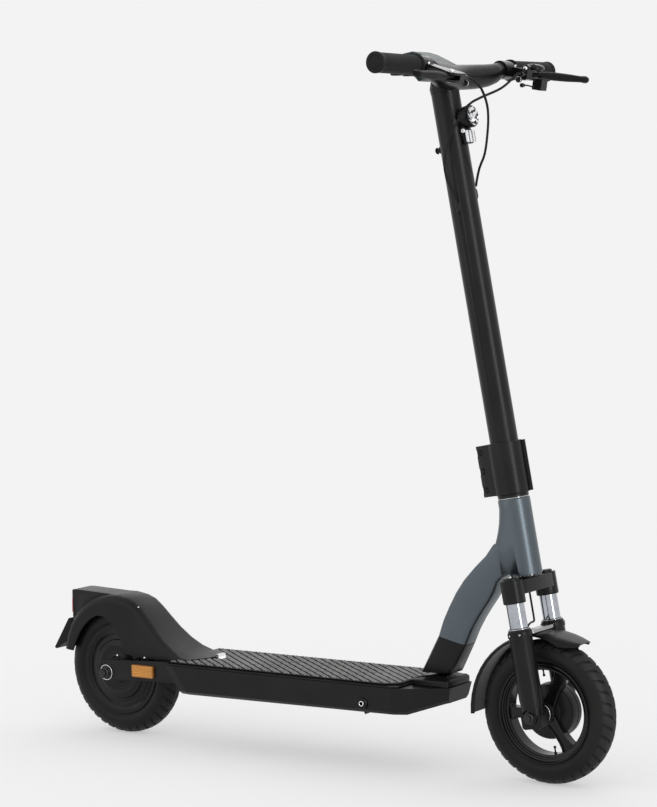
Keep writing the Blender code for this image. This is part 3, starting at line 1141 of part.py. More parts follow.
def throttle(perch):
    """Throttle pod fused to the right perch, and its thumb paddle."""
    x, s = bar_centre(THROTTLE_Y[0])
    px, ps = x + THUMB_PIVOT[0], s + THUMB_PIVOT[1]
    reach, way = math.hypot(*THUMB_PIVOT), math.degrees(math.atan2(THUMB_PIVOT[1], THUMB_PIVOT[0]))
    round_bar, round_pin = BAR_R + 0.0058, 0.0082
    lean = math.degrees(math.acos((round_bar - round_pin) / reach))
    pod = arc((x, s), round_bar, way + lean, way + 360 - lean, 14)
    pod += arc((px, ps), round_pin, way - lean, way + lean, 7)
    fuse(perch, slab("throttle_pod_tool", pod, *THROTTLE_Y, "satin_black", FOLD, "XZ", ON_FOLD))
    pin_in = THROTTLE_Y[1] - 0.002
    cut(perch, turned("throttle_pin_bore", [(0.0029, THROTTLE_Y[0] - 0.01), (0.0029, pin_in)], "satin_black",
                      FOLD, "Y", (px, 0, ps), ON_FOLD, steps=12))
    frame = empty("throttle_axis", (px - FOLD_PIN_X, 0, ps - FOLD_PIN_S), FOLD)
    blade = arc((0, 0), 0.0066, -90, 90, 8)
    blade += [(-0.0100, 0.0048), (-0.0185, 0.0012), (-0.0200, -0.0010), (-0.0185, -0.0034),
              (-0.0100, -0.0052)]
    paddle = slab("throttle_lever", blade, *PADDLE_Y, "satin_black", frame)
    pin = [(0.0026, PADDLE_Y[1] - 0.003), (0.0026, pin_in - 0.001)]
    fuse(paddle, turned("throttle_pin_tool", pin, "steel", frame, "Y", steps=12))


def horn(perch):
    """Switch block hung under the left perch, with a push button in its outer end."""
    block = [(SWITCH_IN, SWITCH_E[0]), (SWITCH_OUT - 0.002, SWITCH_E[0]), (SWITCH_OUT, SWITCH_E[0] + 0.002),
             (SWITCH_OUT, SWITCH_E[1] - 0.002), (SWITCH_OUT - 0.002, SWITCH_E[1]), (SWITCH_IN, SWITCH_E[1])]
    fuse(perch, perch_block("switch_tool", block, *SWITCH_N, 1, "satin_black", FOLD, ON_FOLD, LEVER_Y))
    x, s = bar_centre(LEVER_Y)
    tilt = perch_tilt(1)
    e, n = sum(SWITCH_E) / 2, sum(SWITCH_N) / 2
    centre = (x + e * math.cos(tilt) - n * math.sin(tilt), 0, s + e * math.sin(tilt) + n * math.cos(tilt))
    bore = [(0.0063, SWITCH_OUT - 0.006), (0.0063, SWITCH_OUT + 0.01)]
    cut(perch, turned("button_bore", bore, "satin_black", FOLD, "Y", centre, ON_FOLD, steps=16))
    frame = empty("horn_button_axis", (centre[0] - FOLD_PIN_X, SWITCH_OUT, centre[2] - FOLD_PIN_S), FOLD)
    cap = [(0.0059, -0.0035), (0.0059, 0.0025), (0.0050, 0.0035)]
    turned("horn_button", cap, "rubber", frame, "Y", steps=16)


def headlamp():
    """Round headlamp on a bracket in front of the stem, its lens and the white reflector under it."""
    s, x0, x1, radius = LAMP_S, 0.0240, 0.0402, 0.0195
    body = [(0.008, x0 - 0.002), (0.0150, x0), (radius - 0.001, x0 + 0.008), (radius, x1 - 0.002),
            (radius, x1 + 0.004), (0.0168, x1 + 0.004), (0.0168, x1)]
    lamp = turned("headlamp_housing", body, "satin_black", FOLD, "X", (0, 0, s), ON_FOLD, steps=24)
    glass_x = 0.0335
    bracket = [(0.010, s + 0.010), (0.030, s + 0.010), (0.030, s - 0.014), (glass_x, s - 0.0205),
               (glass_x, s - 0.045), (glass_x - 0.007, s - 0.045), (glass_x - 0.008, s - 0.030),
               (0.010, s - 0.032)]
    fuse(lamp, slab("lamp_bracket_tool", bracket, -0.0095, 0.0095, "satin_black", FOLD, "XZ", ON_FOLD))
    saddle = [(STEM_R + GAP, s - 0.1), (STEM_R + GAP, s + 0.1)]
    cut(lamp, turned("lamp_saddle_tool", saddle, "satin_black", FOLD, shift=ON_FOLD, steps=32))
    dome = [(0.0160, x1 + GAP), (0.0164, x1 + 0.0045), (0.0120, x1 + 0.0068), (0.005, x1 + 0.0076)]
    turned("headlamp_lens", dome, "clear_lens", FOLD, "X", (0, 0, s), ON_FOLD, steps=24)
    glass = rounded(0.0130, 0.0105, 0.0015, (0, s - 0.0335), 1)
    slab("front_reflector", glass, glass_x + GAP, glass_x + 0.0042, "clear_lens", FOLD, "YZ", ON_FOLD)
    hook = [(0.0068, -0.003), (0.0042, -0.0042), (0.0042, -0.0080), (0.0060, -0.0092), (0.0052, -0.0115)]
    profile = [(0.0068, 0.004 - STEM_R)] + [(r, a - STEM_R - GAP) for r, a in hook]
    knob = turned("bag_hook", profile, "black_paint", FOLD, "X", (0, 0, HOOK_S), ON_FOLD, steps=16)
    saddle = [(STEM_R + GAP, HOOK_S - 0.02), (STEM_R + GAP, HOOK_S + 0.02)]
    cut(knob, turned("hook_saddle_tool", saddle, "black_paint", FOLD, shift=ON_FOLD, steps=32))


def cables():
    """Brake cables from the lever barrels to the grommets in the stem, and the lower brake cable."""
    rx, ry, rs = perch_point(-LEVER_Y, LEVER_REACH + 0.0062, 0.0)
    bx, by, bs = perch_point(LEVER_Y, LEVER_REACH + 0.0062, 0.0)
    start = BARREL_END - GAP
    lx, ly, ls = GROMMET_LEFT
    gx, gy, gs = GROMMET_RIGHT
    grow = (STEM_R + 0.0029) / math.hypot(lx, ly)
    right = [(rx, -start, rs), (rx, -start + 0.010, rs), (0.1030, -0.0560, 1.0650),
             (0.0990, -0.0360, 1.0390), (0.0880, -0.0200, 1.0150), (0.0690, -0.0020, 0.9860),
             (0.0500, 0.0115, 0.9590),
             (lx * grow + 0.0160, ly * grow - 0.0040, ls + 0.030),
             (lx * grow + 0.0035, ly * grow + 0.0005, ls + 0.010), (lx * grow, ly * grow, ls)]
    cord("brake_cable_right", right, 0.0022, "rubber", FOLD, ON_FOLD)
    reach = (STEM_R + 0.0038) / math.hypot(gx, gy)
    left = [(bx, start, bs), (bx, start - 0.010, bs), (0.0860, 0.0450, 1.0680), (0.0670, 0.0, 1.0540),
            (0.054, -0.021, 1.0440), (0.037, -0.031, 1.0240), (0.012, -0.0345, 0.991),
            (-0.003, -0.0350, 0.960), (-0.005, -0.0335, 0.927),
            (gx * reach - 0.0007, gy * reach - 0.0016, gs + 0.012), (gx * reach, gy * reach, gs)]
    cord("brake_cable_left", left, 0.0022, "rubber", FOLD, ON_FOLD)
    arm_y = ARM_OUT + GAP + 0.0018
    arm_x = CAM[0] - ARM_REACH + 0.004
    low = [(0, 0, 0.245), (0, 0, 0.215), (0, 0, 0.190), (0, 0, 0.163), (-0.004, 0.005, 0.1560),
           (-0.020, 0.020, 0.1525), (-0.034, 0.032, 0.1460), (-0.040, arm_y - 0.001, 0.132),
           (-0.055, arm_y + 0.0005, 0.085), (arm_x, arm_y + 0.0002, 0.040),
           (arm_x, arm_y, CAM[2] + 0.008), (arm_x, arm_y, CAM[2] - 0.007)]
    cord("front_brake_cable", low, 0.0018, "rubber", FORK, (0, 0, 0))


def toe_front(y):
    """X of the rear fender's front edge on the deck at a distance from the middle."""
    return REAR_X + FENDER_TOE - 0.024 * (y / 0.054) ** 2


def rear_fender():
    """Rear mudguard: a hood over the wheel that sweeps down to the deck, with side walls and a lamp box."""
    centre = (REAR_X + REAR_FENDER_SHIFT, AXLE_Z + REAR_FENDER_RISE)
    low_edge = ((174, 0.1000), (162, 0.0955), (149, 0.0932), (137, 0.0925), (125, 0.0920), (114, 0.0910),
                (104, 0.0850), (95, 0.0740), (86, 0.0640))
    outer, lower = [], []
    for turn, radius in low_edge:
        outer.append(Vector(arc(centre, REAR_FENDER_R, turn, turn, 1)[0]))
        lower.append(Vector(arc(centre, radius, turn, turn, 1)[0]))
    start = Vector(arc(centre, REAR_FENDER_R, 75, 75, 1)[0])
    end = Vector((REAR_X + FENDER_TOE, PLATE_TOP + 0.0042))
    rest = PLATE_TOP + GAP - AXLE_Z
    feet = ((0.024, 0.050), (0.030, 0.034), (0.054, 0.030), (0.082, 0.030), (0.110, 0.030), (0.138, 0.030),
            (0.1575, rest), (0.184, rest), (FENDER_TOE, rest))
    for i, foot in enumerate(feet):
        leave, arrive = (start.x + 0.050, start.y - 0.007), (end.x - 0.106, end.y - 0.0080)
        outer.append(bezier(start, leave, arrive, end, i / 8))
        lower.append(Vector((REAR_X + foot[0], AXLE_Z + foot[1])))
    rings = []
    for top, low in zip(outer, lower):
        reach = top.x - REAR_X
        flare = min(1.0, max(0.0, (reach - 0.05) / 0.13))
        half = REAR_FENDER_HALF + 0.013 * flare * flare * (3 - 2 * flare)
        down = low - top
        depth = down.length
        down = down.normalized()
        corner = min(0.013, depth * 0.75)
        wall = min(REAR_FENDER_T, depth * 0.45)
        late = min(1.0, max(0.0, (reach - 0.150) / (FENDER_TOE - 0.150)))
        turns = [math.radians(v) for v in (0, 30, 60, 90)]
        hollow = max(0.0, corner - wall)
        section = [(-half, depth)]
        section += [(-half + corner * (1 - math.cos(a)), corner * (1 - math.sin(a))) for a in turns]
        section += [(-half * 0.4, 0.0), (0.0, 0.0)]
        section += [(-y, d) for y, d in reversed(section[:-1])]
        inner = [(-half + wall, depth)]
        inner += [(-half + wall + hollow * (1 - math.cos(a)), wall + hollow * (1 - math.sin(a)))
                  for a in turns]
        inner += [(-half * 0.4, wall), (0.0, wall)]
        inner += [(-y, d) for y, d in reversed(inner[:-1])]
        ring = []
        for y, d in section + list(reversed(inner)):
            point = top + down * min(d, depth)
            ring.append((point.x - 0.024 * late * (y / 0.054) ** 2, y, point.y))
        rings.append(ring)
    hood = skin("rear_fender", rings, "satin_black", folded=True)
    crest = centre[1] + REAR_FENDER_R
    face_top = Vector((REAR_X - 0.1095, AXLE_Z + 0.1468))
    face_low = Vector((REAR_X - 0.1106, AXLE_Z + 0.0940))
    seam = REAR_FENDER_R - REAR_FENDER_T / 2
    lamp = arc(centre, seam, 84, 146, 8) + [tuple(face_low), tuple(face_top)]
    lamp += [(REAR_X - 0.1000, AXLE_Z + 0.1477), (REAR_X - 0.0300, crest + 0.0008),
             (REAR_X + 0.0100, crest - 0.0010)]
    fuse(hood, slab("lamp_housing_tool", lamp, -LAMP_HALF, LAMP_HALF, "satin_black"))
    along = (face_low - face_top).normalized()
    out = Vector((along.y, -along.x))
    lens_top, lens_low = face_top + along * 0.0015, face_low - along * 0.008
    lens = [lens_top + out * GAP, lens_top + out * 0.0050, lens_low + out * 0.0056, lens_low + out * GAP]
    slab("tail_light", [tuple(p) for p in lens], -0.022, 0.022, "red_lens")
    inner_edge = arc(centre, REAR_FENDER_R + GAP, 168, 150, 4)
    tip = (REAR_X - FLAP_REACH, AXLE_Z + 0.0310)
    flap = inner_edge + [(REAR_X - 0.1190, AXLE_Z + 0.0910), tip, (tip[0] + 0.0050, tip[1] - 0.0022)]
    slab("mud_flap", flap, -0.030, 0.030, "rubber")


def fold_catch():
    """Steel striker plate on the deck's tail with a low hooked tab."""
    low = PLATE_TOP + GAP
    base = [(REAR_X + FENDER_TOE + 0.0015, low), (REAR_X + CATCH_REACH, low),
            (REAR_X + CATCH_REACH, low + 0.0026),
            (REAR_X + CATCH_REACH - 0.006, low + 0.0034), (REAR_X + CATCH_REACH - 0.007, low + 0.0100),
            (REAR_X + CATCH_REACH - 0.013, low + 0.0100), (REAR_X + CATCH_REACH - 0.013, low + 0.0080),
            (REAR_X + CATCH_REACH - 0.010, low + 0.0030), (REAR_X + FENDER_TOE + 0.0015, low + 0.0022)]
    slab("fold_catch", base, -CATCH_HALF, CATCH_HALF, "steel")


deck()
rear_axle_parts()
front_wheel()
rear_wheel()
kickstand()
neck()
headset()
steering_parts()
fork_lowers()
front_brake_arm()
fold_collar()
handlebar()
controls()
headlamp()
cables()
rear_fender()
fold_catch()
bpy.context.view_layer.update()
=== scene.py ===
"""Look of the folding electric scooter: its finishes, tread, ribs, knurling, screws, lamp and studio."""

import json
import math

import bmesh
import bpy
from mathutils import Matrix, Vector

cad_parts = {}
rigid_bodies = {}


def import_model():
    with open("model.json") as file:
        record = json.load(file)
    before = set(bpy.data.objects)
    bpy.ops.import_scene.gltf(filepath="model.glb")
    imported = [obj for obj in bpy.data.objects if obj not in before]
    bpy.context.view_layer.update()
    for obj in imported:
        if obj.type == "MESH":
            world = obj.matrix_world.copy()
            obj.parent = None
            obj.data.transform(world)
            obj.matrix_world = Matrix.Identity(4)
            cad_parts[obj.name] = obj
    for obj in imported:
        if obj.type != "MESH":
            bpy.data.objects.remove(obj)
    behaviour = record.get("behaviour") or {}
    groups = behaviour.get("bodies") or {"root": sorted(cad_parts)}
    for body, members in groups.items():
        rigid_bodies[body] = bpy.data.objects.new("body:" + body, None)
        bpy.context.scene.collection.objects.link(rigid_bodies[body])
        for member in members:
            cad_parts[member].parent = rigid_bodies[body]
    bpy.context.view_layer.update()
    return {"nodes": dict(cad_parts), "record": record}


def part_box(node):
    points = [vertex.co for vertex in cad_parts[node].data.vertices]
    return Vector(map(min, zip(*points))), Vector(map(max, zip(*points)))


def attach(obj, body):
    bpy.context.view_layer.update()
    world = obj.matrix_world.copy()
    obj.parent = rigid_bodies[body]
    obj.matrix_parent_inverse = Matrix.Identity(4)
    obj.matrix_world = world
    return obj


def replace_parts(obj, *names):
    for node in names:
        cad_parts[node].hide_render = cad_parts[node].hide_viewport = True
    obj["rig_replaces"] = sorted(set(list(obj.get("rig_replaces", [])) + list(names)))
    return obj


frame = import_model()
nodes = frame["nodes"]
slots = {part["node"]: part["material_slot"] for part in frame["record"]["subparts"]}
home = {node: body for body, names in frame["record"]["behaviour"]["bodies"].items() for node in names}

# Main places and sizes, in metres; a side is -1 on the right and 1 on the left
WHEEL_R = 0.125
REAR_X = -0.450
FRONT_X = 0.482
RAKE = math.radians(9.7)
BAR_HALF = 0.281
BAR_BEND = 0.118
BAR_LOW = (0.019, 1.1000)
BAR_SWEEP = 0.0255
BAR_RISE = 0.0107
GRIP_LEN = 0.130
GRIP_R = 0.0162
LEG_X = 0.0015
LEG_Y = 0.056
LAMP_X = 0.0405
LAMP_S = 1.0275
LAMP_BRACKET_X = 0.0300
LAMP_BRACKET_S = 1.0045
PERCH_TILT = {-1: math.radians(-30.0), 1: math.radians(-20.0)}
PIVOT_Y = 0.127
PIVOT_OUT = 0.0556
SIDES = ((-1, "right"), (1, "left"))
SIDEWAYS = Vector((0, -1, 0))


def steer(x, y, s):
    """World place of a point of the steering frame, whose Z runs up the stem."""
    return Vector((FRONT_X + x * math.cos(RAKE) - s * math.sin(RAKE), y,
                   WHEEL_R + x * math.sin(RAKE) + s * math.cos(RAKE)))


def bar_centre(y):
    """Middle of the handlebar at a distance along it."""
    share = min(1.0, abs(y) / BAR_BEND)
    ease = share * share * (3 - 2 * share)
    beyond = max(0.0, abs(y) - BAR_BEND) / (BAR_HALF - BAR_BEND)
    x, s = BAR_LOW
    return x + BAR_SWEEP * ease + 0.004 * beyond, s + BAR_RISE * share ** 6 + 0.0006 * beyond


AHEAD = steer(1, 0, 0) - steer(0, 0, 0)
UP = steer(0, 0, 1) - steer(0, 0, 0)


# Nodes and their arithmetic


class Wire:
    """An output of a node, with arithmetic on it."""

    def __init__(self, net, socket):
        self.net = net
        self.socket = socket

    def of(self, name):
        return Wire(self.net, self.socket.node.outputs[name])

    def maths(self, operation, *others):
        values = dict(enumerate((self, *others)))
        return self.net.add("ShaderNodeMath", {"operation": operation}, values)

    def __add__(self, other):
        return self.maths("ADD", other)

    __radd__ = __add__

    def __mul__(self, other):
        return self.maths("MULTIPLY", other)

    __rmul__ = __mul__

    def __sub__(self, other):
        return self.maths("SUBTRACT", other)

    def __rsub__(self, other):
        return (self * -1.0) + other

    def clamped(self, low, high):
        return self.maths("MAXIMUM", low).maths("MINIMUM", high)


class Net:
    """A node tree to which every node is added in one way."""

    def __init__(self, tree):
        self.tree = tree

    def feed(self, socket, value):
        if isinstance(value, Wire):
            self.tree.links.new(value.socket, socket)
        else:
            socket.default_value = value

    def add(self, kind, settings=None, values=None, out=0):
        node = self.tree.nodes.new(kind)
        for key, value in (settings or {}).items():
            setattr(node, key, value)
        for key, value in (values or {}).items():
            self.feed(node.inputs[key], value)
        return Wire(self, node.outputs[out]) if len(node.outputs) else node


def tint(net, share, first, second):
    """A colour between two, by share; each is a wire or a plain colour."""
    pair = [colour if isinstance(colour, Wire) else (*colour, 1.0) for colour in (first, second)]
    return net.add("ShaderNodeMix", {"data_type": "RGBA"}, {0: share, 6: pair[0], 7: pair[1]}, 2)


def noise(net, place, scale, detail):
    """A cloudy value around one half."""
    return net.add("ShaderNodeTexNoise", None, {"Vector": place, "Scale": scale, "Detail": detail})


# Finishes

SPECULAR = "Specular IOR Level"
COAT = "Coat Weight"
CLOUD_SCALE = 14.0
CLOUD_EDGE = 0.42
CLOUD_CONTRAST = 2.4
FINE_SHARE = 0.35
BUMP_DISTANCE = 0.0006
# Colour, roughness, metallic, grain size, grain depth, worn colour, other sockets
FINISHES = {
    "black_aluminium": (
        (0.0062, 0.0062, 0.0064), 0.33, 0.0, 1500, 0.08, (0.0100, 0.0100, 0.0103), {SPECULAR: 0.20}),
    "slate_aluminium": ((0.090, 0.109, 0.124), 0.36, 0.80, 1900, 0.04, (0.098, 0.117, 0.132), {}),
    "black_steel": (
        (0.0060, 0.0060, 0.0062), 0.34, 0.0, 1300, 0.10, (0.0150, 0.0150, 0.0152), {SPECULAR: 0.20}),
    "black_plastic": (
        (0.0064, 0.0064, 0.0066), 0.34, 0.0, 1100, 0.10, (0.0100, 0.0100, 0.0104), {SPECULAR: 0.18}),
    "rubber": ((0.0060, 0.0060, 0.0061), 0.56, 0.0, 900, 0.22, (0.0130, 0.0130, 0.0130), {SPECULAR: 0.16}),
    "tyre": ((0.0066, 0.0066, 0.0065), 0.52, 0.0, 700, 0.18, (0.0140, 0.0136, 0.0130), {SPECULAR: 0.18}),
    "chrome": ((0.86, 0.87, 0.89), 0.08, 1.0, 600, 0.01, (0.74, 0.75, 0.77), {}),
    "steel": ((0.42, 0.42, 0.43), 0.28, 1.0, 1200, 0.06, (0.32, 0.32, 0.32), {}),
    "amber_lens": ((0.66, 0.270, 0.006), 0.26, 0.0, 500, 0.05, (0.54, 0.200, 0.005), {COAT: 0.4}),
    "red_lens": ((0.62, 0.020, 0.018), 0.18, 0.0, 500, 0.04, (0.46, 0.012, 0.012), {COAT: 0.6}),
    "clear_lens": ((0.80, 0.82, 0.84), 0.12, 0.0, 500, 0.02, (0.72, 0.74, 0.76), {COAT: 0.6}),
    "display_glass": ((0.008, 0.022, 0.024), 0.30, 0.0, 300, 0.01, (0.010, 0.030, 0.032), {SPECULAR: 0.10}),
    "cell_wrap": ((0.05, 0.12, 0.30), 0.40, 0.0, 300, 0.03, (0.04, 0.10, 0.26), {}),
    "potted_board": ((0.20, 0.20, 0.21), 0.42, 0.5, 600, 0.05, (0.16, 0.16, 0.17), {}),
    "copper_winding": ((0.66, 0.32, 0.16), 0.36, 0.9, 900, 0.10, (0.50, 0.24, 0.12), {}),
}


def finish(slot_name, label=None, **changes):
    """A material of a slot's finish: cloudy wear in colour and roughness, fine grain in its bump."""
    colour, rough, metal, grain, depth, worn, extra = FINISHES[slot_name]
    colour = changes.get("colour", colour)
    worn = changes.get("worn", worn)
    rough = changes.get("rough", rough)
    metal = changes.get("metal", metal)
    item = bpy.data.materials.new(label or slot_name)
    item.use_nodes = True
    net = Net(item.node_tree)
    shader = item.node_tree.nodes["Principled BSDF"]
    place = net.add("ShaderNodeTexCoord", None, None, 3)
    cloud = noise(net, place, changes.get("cloud", CLOUD_SCALE), 4.0)
    fine = noise(net, place, grain * FINE_SHARE, 2.0)
    share = ((cloud - CLOUD_EDGE) * CLOUD_CONTRAST).clamped(0.0, 1.0)
    rub = ((fine - 0.5) * 0.5 + share).clamped(0.0, 1.0)
    shade = tint(net, rub, colour, worn)
    if "paint" in changes:
        shade = changes["paint"](net, place, shade)
    net.feed(shader.inputs["Base Color"], shade)
    net.feed(shader.inputs["Roughness"], (fine - 0.5) * 0.10 + (share * 0.06 + (rough - 0.03)))
    height = noise(net, place, grain, 2.0)
    bump = {"Strength": changes.get("depth", depth), "Distance": BUMP_DISTANCE, "Height": height}
    if "pattern" in changes:
        bump["Height"] = height * 0.25 + changes["pattern"](net, place)
    net.feed(shader.inputs["Normal"], net.add("ShaderNodeBump", None, bump))
    shader.inputs["Metallic"].default_value = metal
    for key, value in {**extra, **changes.get("sockets", {})}.items():
        shader.inputs[key].default_value = value
    return item


BASE = {slot_name: finish(slot_name) for slot_name in FINISHES}

# Painted sheen and wear: tread blocks lighter than the carcass, for the light on their tops against the dark
# grooves, with cloudy wear.
TREAD = finish("tyre", "tread_sheen_and_wear", rough=0.46,
               colour=(0.0130, 0.0130, 0.0128), worn=(0.0230, 0.0225, 0.0220))
# Painted sheen: the studs are lighter than the sleeve for the light they catch, with cloudy wear.
KNURL = finish("rubber", "knurl", rough=0.44,
               colour=(0.0150, 0.0150, 0.0152), worn=(0.0230, 0.0230, 0.0230))
MAT_BASE = finish("rubber", "mat_base", sockets={SPECULAR: 0.05},
                  colour=(0.0035, 0.0035, 0.0036), worn=(0.0060, 0.0060, 0.0060))
HUB_GLOSS = finish("black_aluminium", "hub_gloss", rough=0.22, sockets={SPECULAR: 0.20},
                   colour=(0.0050, 0.0050, 0.0051))
GLOSS = finish("black_aluminium", "gloss_black", rough=0.20, depth=0.04, sockets={SPECULAR: 0.26},
               colour=(0.0045, 0.0045, 0.0046))
MATT_LEVER = finish("black_aluminium", "lever_black", rough=0.46, sockets={SPECULAR: 0.06},
                    colour=(0.0050, 0.0050, 0.0051))
BRIGHT = finish("chrome", "bright_trim", rough=0.12)
PALE_METAL = finish("chrome", "pale_metal", rough=0.40, metal=0.35,
                    colour=(0.82, 0.82, 0.83), worn=(0.70, 0.70, 0.71))
SLIDER = finish("chrome", "slider_chrome", rough=0.14, cloud=60.0,
                colour=(0.46, 0.48, 0.52), worn=(0.30, 0.32, 0.35))
DARK_METAL = finish("steel", "dark_metal", rough=0.26, metal=0.5,
                    colour=(0.020, 0.020, 0.021), worn=(0.045, 0.045, 0.046))
DEEP_AMBER = finish("amber_lens", "deep_amber",
                    colour=(0.34, 0.115, 0.004), worn=(0.28, 0.090, 0.004))


# Pieces

SHARP = 32.0
EASE_ANGLE = 38.0


def closed_mesh(name, points, faces):
    """A mesh whose faces all point outwards."""
    mesh = bpy.data.meshes.new(name)
    mesh.from_pydata([tuple(p) for p in points], [], faces)
    work = bmesh.new()
    work.from_mesh(mesh)
    bmesh.ops.recalc_face_normals(work, faces=work.faces)
    work.to_mesh(mesh)
    work.free()
    return mesh


def piece(name, points, faces, slot_name, body, stands_for=(), look=None, angle=SHARP):
    """A mesh with its place in its vertices, riding on a body."""
    item = bpy.data.objects.new(name, closed_mesh(name, points, faces))
    return fit(item, slot_name, body, stands_for, look, angle)


def fit(item, slot_name, body, stands_for, look, angle=SHARP):
    """Links a piece, shades it, gives it its finish and its body."""
    if item.name not in bpy.context.scene.collection.all_objects:
        bpy.context.scene.collection.objects.link(item)
    item.data.materials.clear()
    item.data.materials.append(look or BASE[slot_name])
    item.data.shade_smooth()
    item.data.set_sharp_from_angle(angle=math.radians(angle))
    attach(item, body)
    if stands_for:
        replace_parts(item, *stands_for)
    return item


def smoothed(node, look, bevel):
    """A copy of a CAD node with its corners merged, smooth shading and edges eased by the bevel."""
    mesh = nodes[node].data.copy()
    work = bmesh.new()
    work.from_mesh(mesh)
    bmesh.ops.remove_doubles(work, verts=work.verts, dist=0.00002)
    bmesh.ops.dissolve_degenerate(work, edges=work.edges, dist=0.00001)
    bmesh.ops.dissolve_limit(work, angle_limit=math.radians(0.4), verts=work.verts, edges=work.edges)
    bmesh.ops.recalc_face_normals(work, faces=work.faces)
    work.to_mesh(mesh)
    work.free()
    item = bpy.data.objects.new(node + ".skin", mesh)
    fit(item, slots[node], home[node], (node,), look)
    if bevel:
        ease = item.modifiers.new("ease", "BEVEL")
        ease.width = bevel
        ease.segments = 2
        ease.limit_method = "ANGLE"
        ease.angle_limit = math.radians(EASE_ANGLE)
    return item


def circle(count):
    """Cosine and sine of a full turn's equal steps."""
    return [(math.cos(2 * math.pi * i / count), math.sin(2 * math.pi * i / count)) for i in range(count)]


def rings_to_faces(count, rows, closed=False):
    """Faces over rings of equal count, capped at both ends unless the last ring joins the first."""
    faces = []
    for j in range(rows if closed else rows - 1):
        for i in range(count):
            a, b = j * count + i, j * count + (i + 1) % count
            k = (j + 1) % rows
            faces.append((a, b, k * count + (i + 1) % count, k * count + i))
    if not closed:
        faces += [[(rows - 1) * count + i for i in range(count)], list(range(count))]
    return faces


def through(points, steps):
    """A smooth run of points through the given ones."""
    out = []
    last = len(points) - 1
    for i in range(last):
        p0, p1 = Vector(points[max(0, i - 1)]), Vector(points[i])
        p2, p3 = Vector(points[i + 1]), Vector(points[min(last, i + 2)])
        for k in range(steps):
            t = k / steps
            out.append(0.5 * ((2 * p1) + (p2 - p0) * t + (2 * p0 - 5 * p1 + 4 * p2 - p3) * t * t
                              + (3 * p1 - p0 - 3 * p2 + p3) * t ** 3))
    out.append(Vector(points[last]))
    return out


def wheel_lathe(profile, centre_x, steps):
    """Points and faces of (radius, y) points turned round a wheel's axle."""
    points = [(centre_x + radius * c, y, WHEEL_R + radius * s)
              for radius, y in profile for c, s in circle(steps)]
    return points, rings_to_faces(steps, len(profile), closed=True)


def turned(name, centre, axis, profile, slot_name, body, look=None, steps=32, closed=False, angle=SHARP):
    """A solid of (radius, along) points turned round an axis."""
    spin = Vector(axis).to_track_quat("Z", "Y").to_matrix()
    points = [Vector(centre) + spin @ Vector((radius * c, radius * s, along))
              for radius, along in profile for c, s in circle(steps)]
    return piece(name, points, rings_to_faces(steps, len(profile), closed), slot_name, body, (), look, angle)


def hoop(name, centre, axis, radius, thick, slot_name, body, look):
    """A thin ring of round section."""
    section = [(radius + thick * c, thick * s) for c, s in circle(8)]
    return turned(name, centre, axis, section, slot_name, body, look, steps=48, closed=True, angle=60)


# What repeats


def grown(name, build, inputs, slot_name, body, look, angle):
    """Runs a Geometry Nodes tree once and keeps its mesh as a plain piece.

    build(net, source) returns the wire with the geometry; inputs names the tree's inputs:
    {name: (socket type, value)}.
    """
    tree = bpy.data.node_groups.new(name + ".rule", "GeometryNodeTree")
    face = tree.interface
    for key, (kind, _) in inputs.items():
        face.new_socket(key, in_out="INPUT", socket_type=kind)
    face.new_socket("Geometry", in_out="OUTPUT", socket_type="NodeSocketGeometry")
    net = Net(tree)
    start = tree.nodes.new("NodeGroupInput")
    source = {key: Wire(net, start.outputs[key]) for key in inputs}
    made = build(net, source)
    made = net.add("GeometryNodeRealizeInstances", None, {0: made})
    made = net.add("GeometryNodeSetMaterial", None, {"Geometry": made, "Material": look or BASE[slot_name]})
    end = tree.nodes.new("NodeGroupOutput")
    net.feed(end.inputs[0], made)
    holder = bpy.data.objects.new(name + ".holder", bpy.data.meshes.new(name + ".seed"))
    bpy.context.scene.collection.objects.link(holder)
    step = holder.modifiers.new("rule", "NODES")
    step.node_group = tree
    for socket in face.items_tree:
        if socket.in_out == "INPUT":
            step[socket.identifier] = inputs[socket.name][1]
    bpy.context.view_layer.update()
    mesh = bpy.data.meshes.new_from_object(holder.evaluated_get(bpy.context.evaluated_depsgraph_get()))
    mesh.name = name
    holder.modifiers.clear()
    bpy.data.objects.remove(holder)
    item = bpy.data.objects.new(name, mesh)
    return fit(item, slot_name, body, (), look, angle)


units = []


def unit(name, points, faces):
    """A hidden single element that a rule repeats."""
    item = bpy.data.objects.new(name, closed_mesh(name, points, faces))
    item.hide_render = True
    item.hide_viewport = True
    units.append(item)
    return item


def on_points(name, element, places, turns, slot_name, body, look=None, angle=SHARP, size=None):
    """Puts an element at each place, turned by Euler angles, through a points rule."""
    holder = bpy.data.meshes.new(name + ".points")
    holder.from_pydata([tuple(p) for p in places], [], [])
    holder.attributes.new("spin", "FLOAT_VECTOR", "POINT")
    holder.attributes.new("grow", "FLOAT", "POINT")
    for i, turn in enumerate(turns):
        holder.attributes["spin"].data[i].vector = turn
        holder.attributes["grow"].data[i].value = size[i] if size else 1.0
    carrier = bpy.data.objects.new(name + ".carrier", holder)
    bpy.context.scene.collection.objects.link(carrier)
    bpy.context.scene.collection.objects.link(element)

    def build(net, source):
        spots = net.add("GeometryNodeObjectInfo", None, {"Object": source["Places"]}, "Geometry")
        one = net.add("GeometryNodeObjectInfo", None, {"Object": source["Element"]}, "Geometry")
        angles = net.add("GeometryNodeInputNamedAttribute", {"data_type": "FLOAT_VECTOR"}, {"Name": "spin"})
        scale = net.add("GeometryNodeInputNamedAttribute", {"data_type": "FLOAT"}, {"Name": "grow"})
        spots = net.add("GeometryNodeMeshToPoints", None, {"Mesh": spots})
        values = {"Points": spots, "Instance": one, "Rotation": angles, "Scale": scale}
        return net.add("GeometryNodeInstanceOnPoints", None, values)

    inputs = {"Places": ("NodeSocketObject", carrier), "Element": ("NodeSocketObject", element)}
    item = grown(name, build, inputs, slot_name, body, look, angle)
    bpy.data.objects.remove(carrier)
    return item


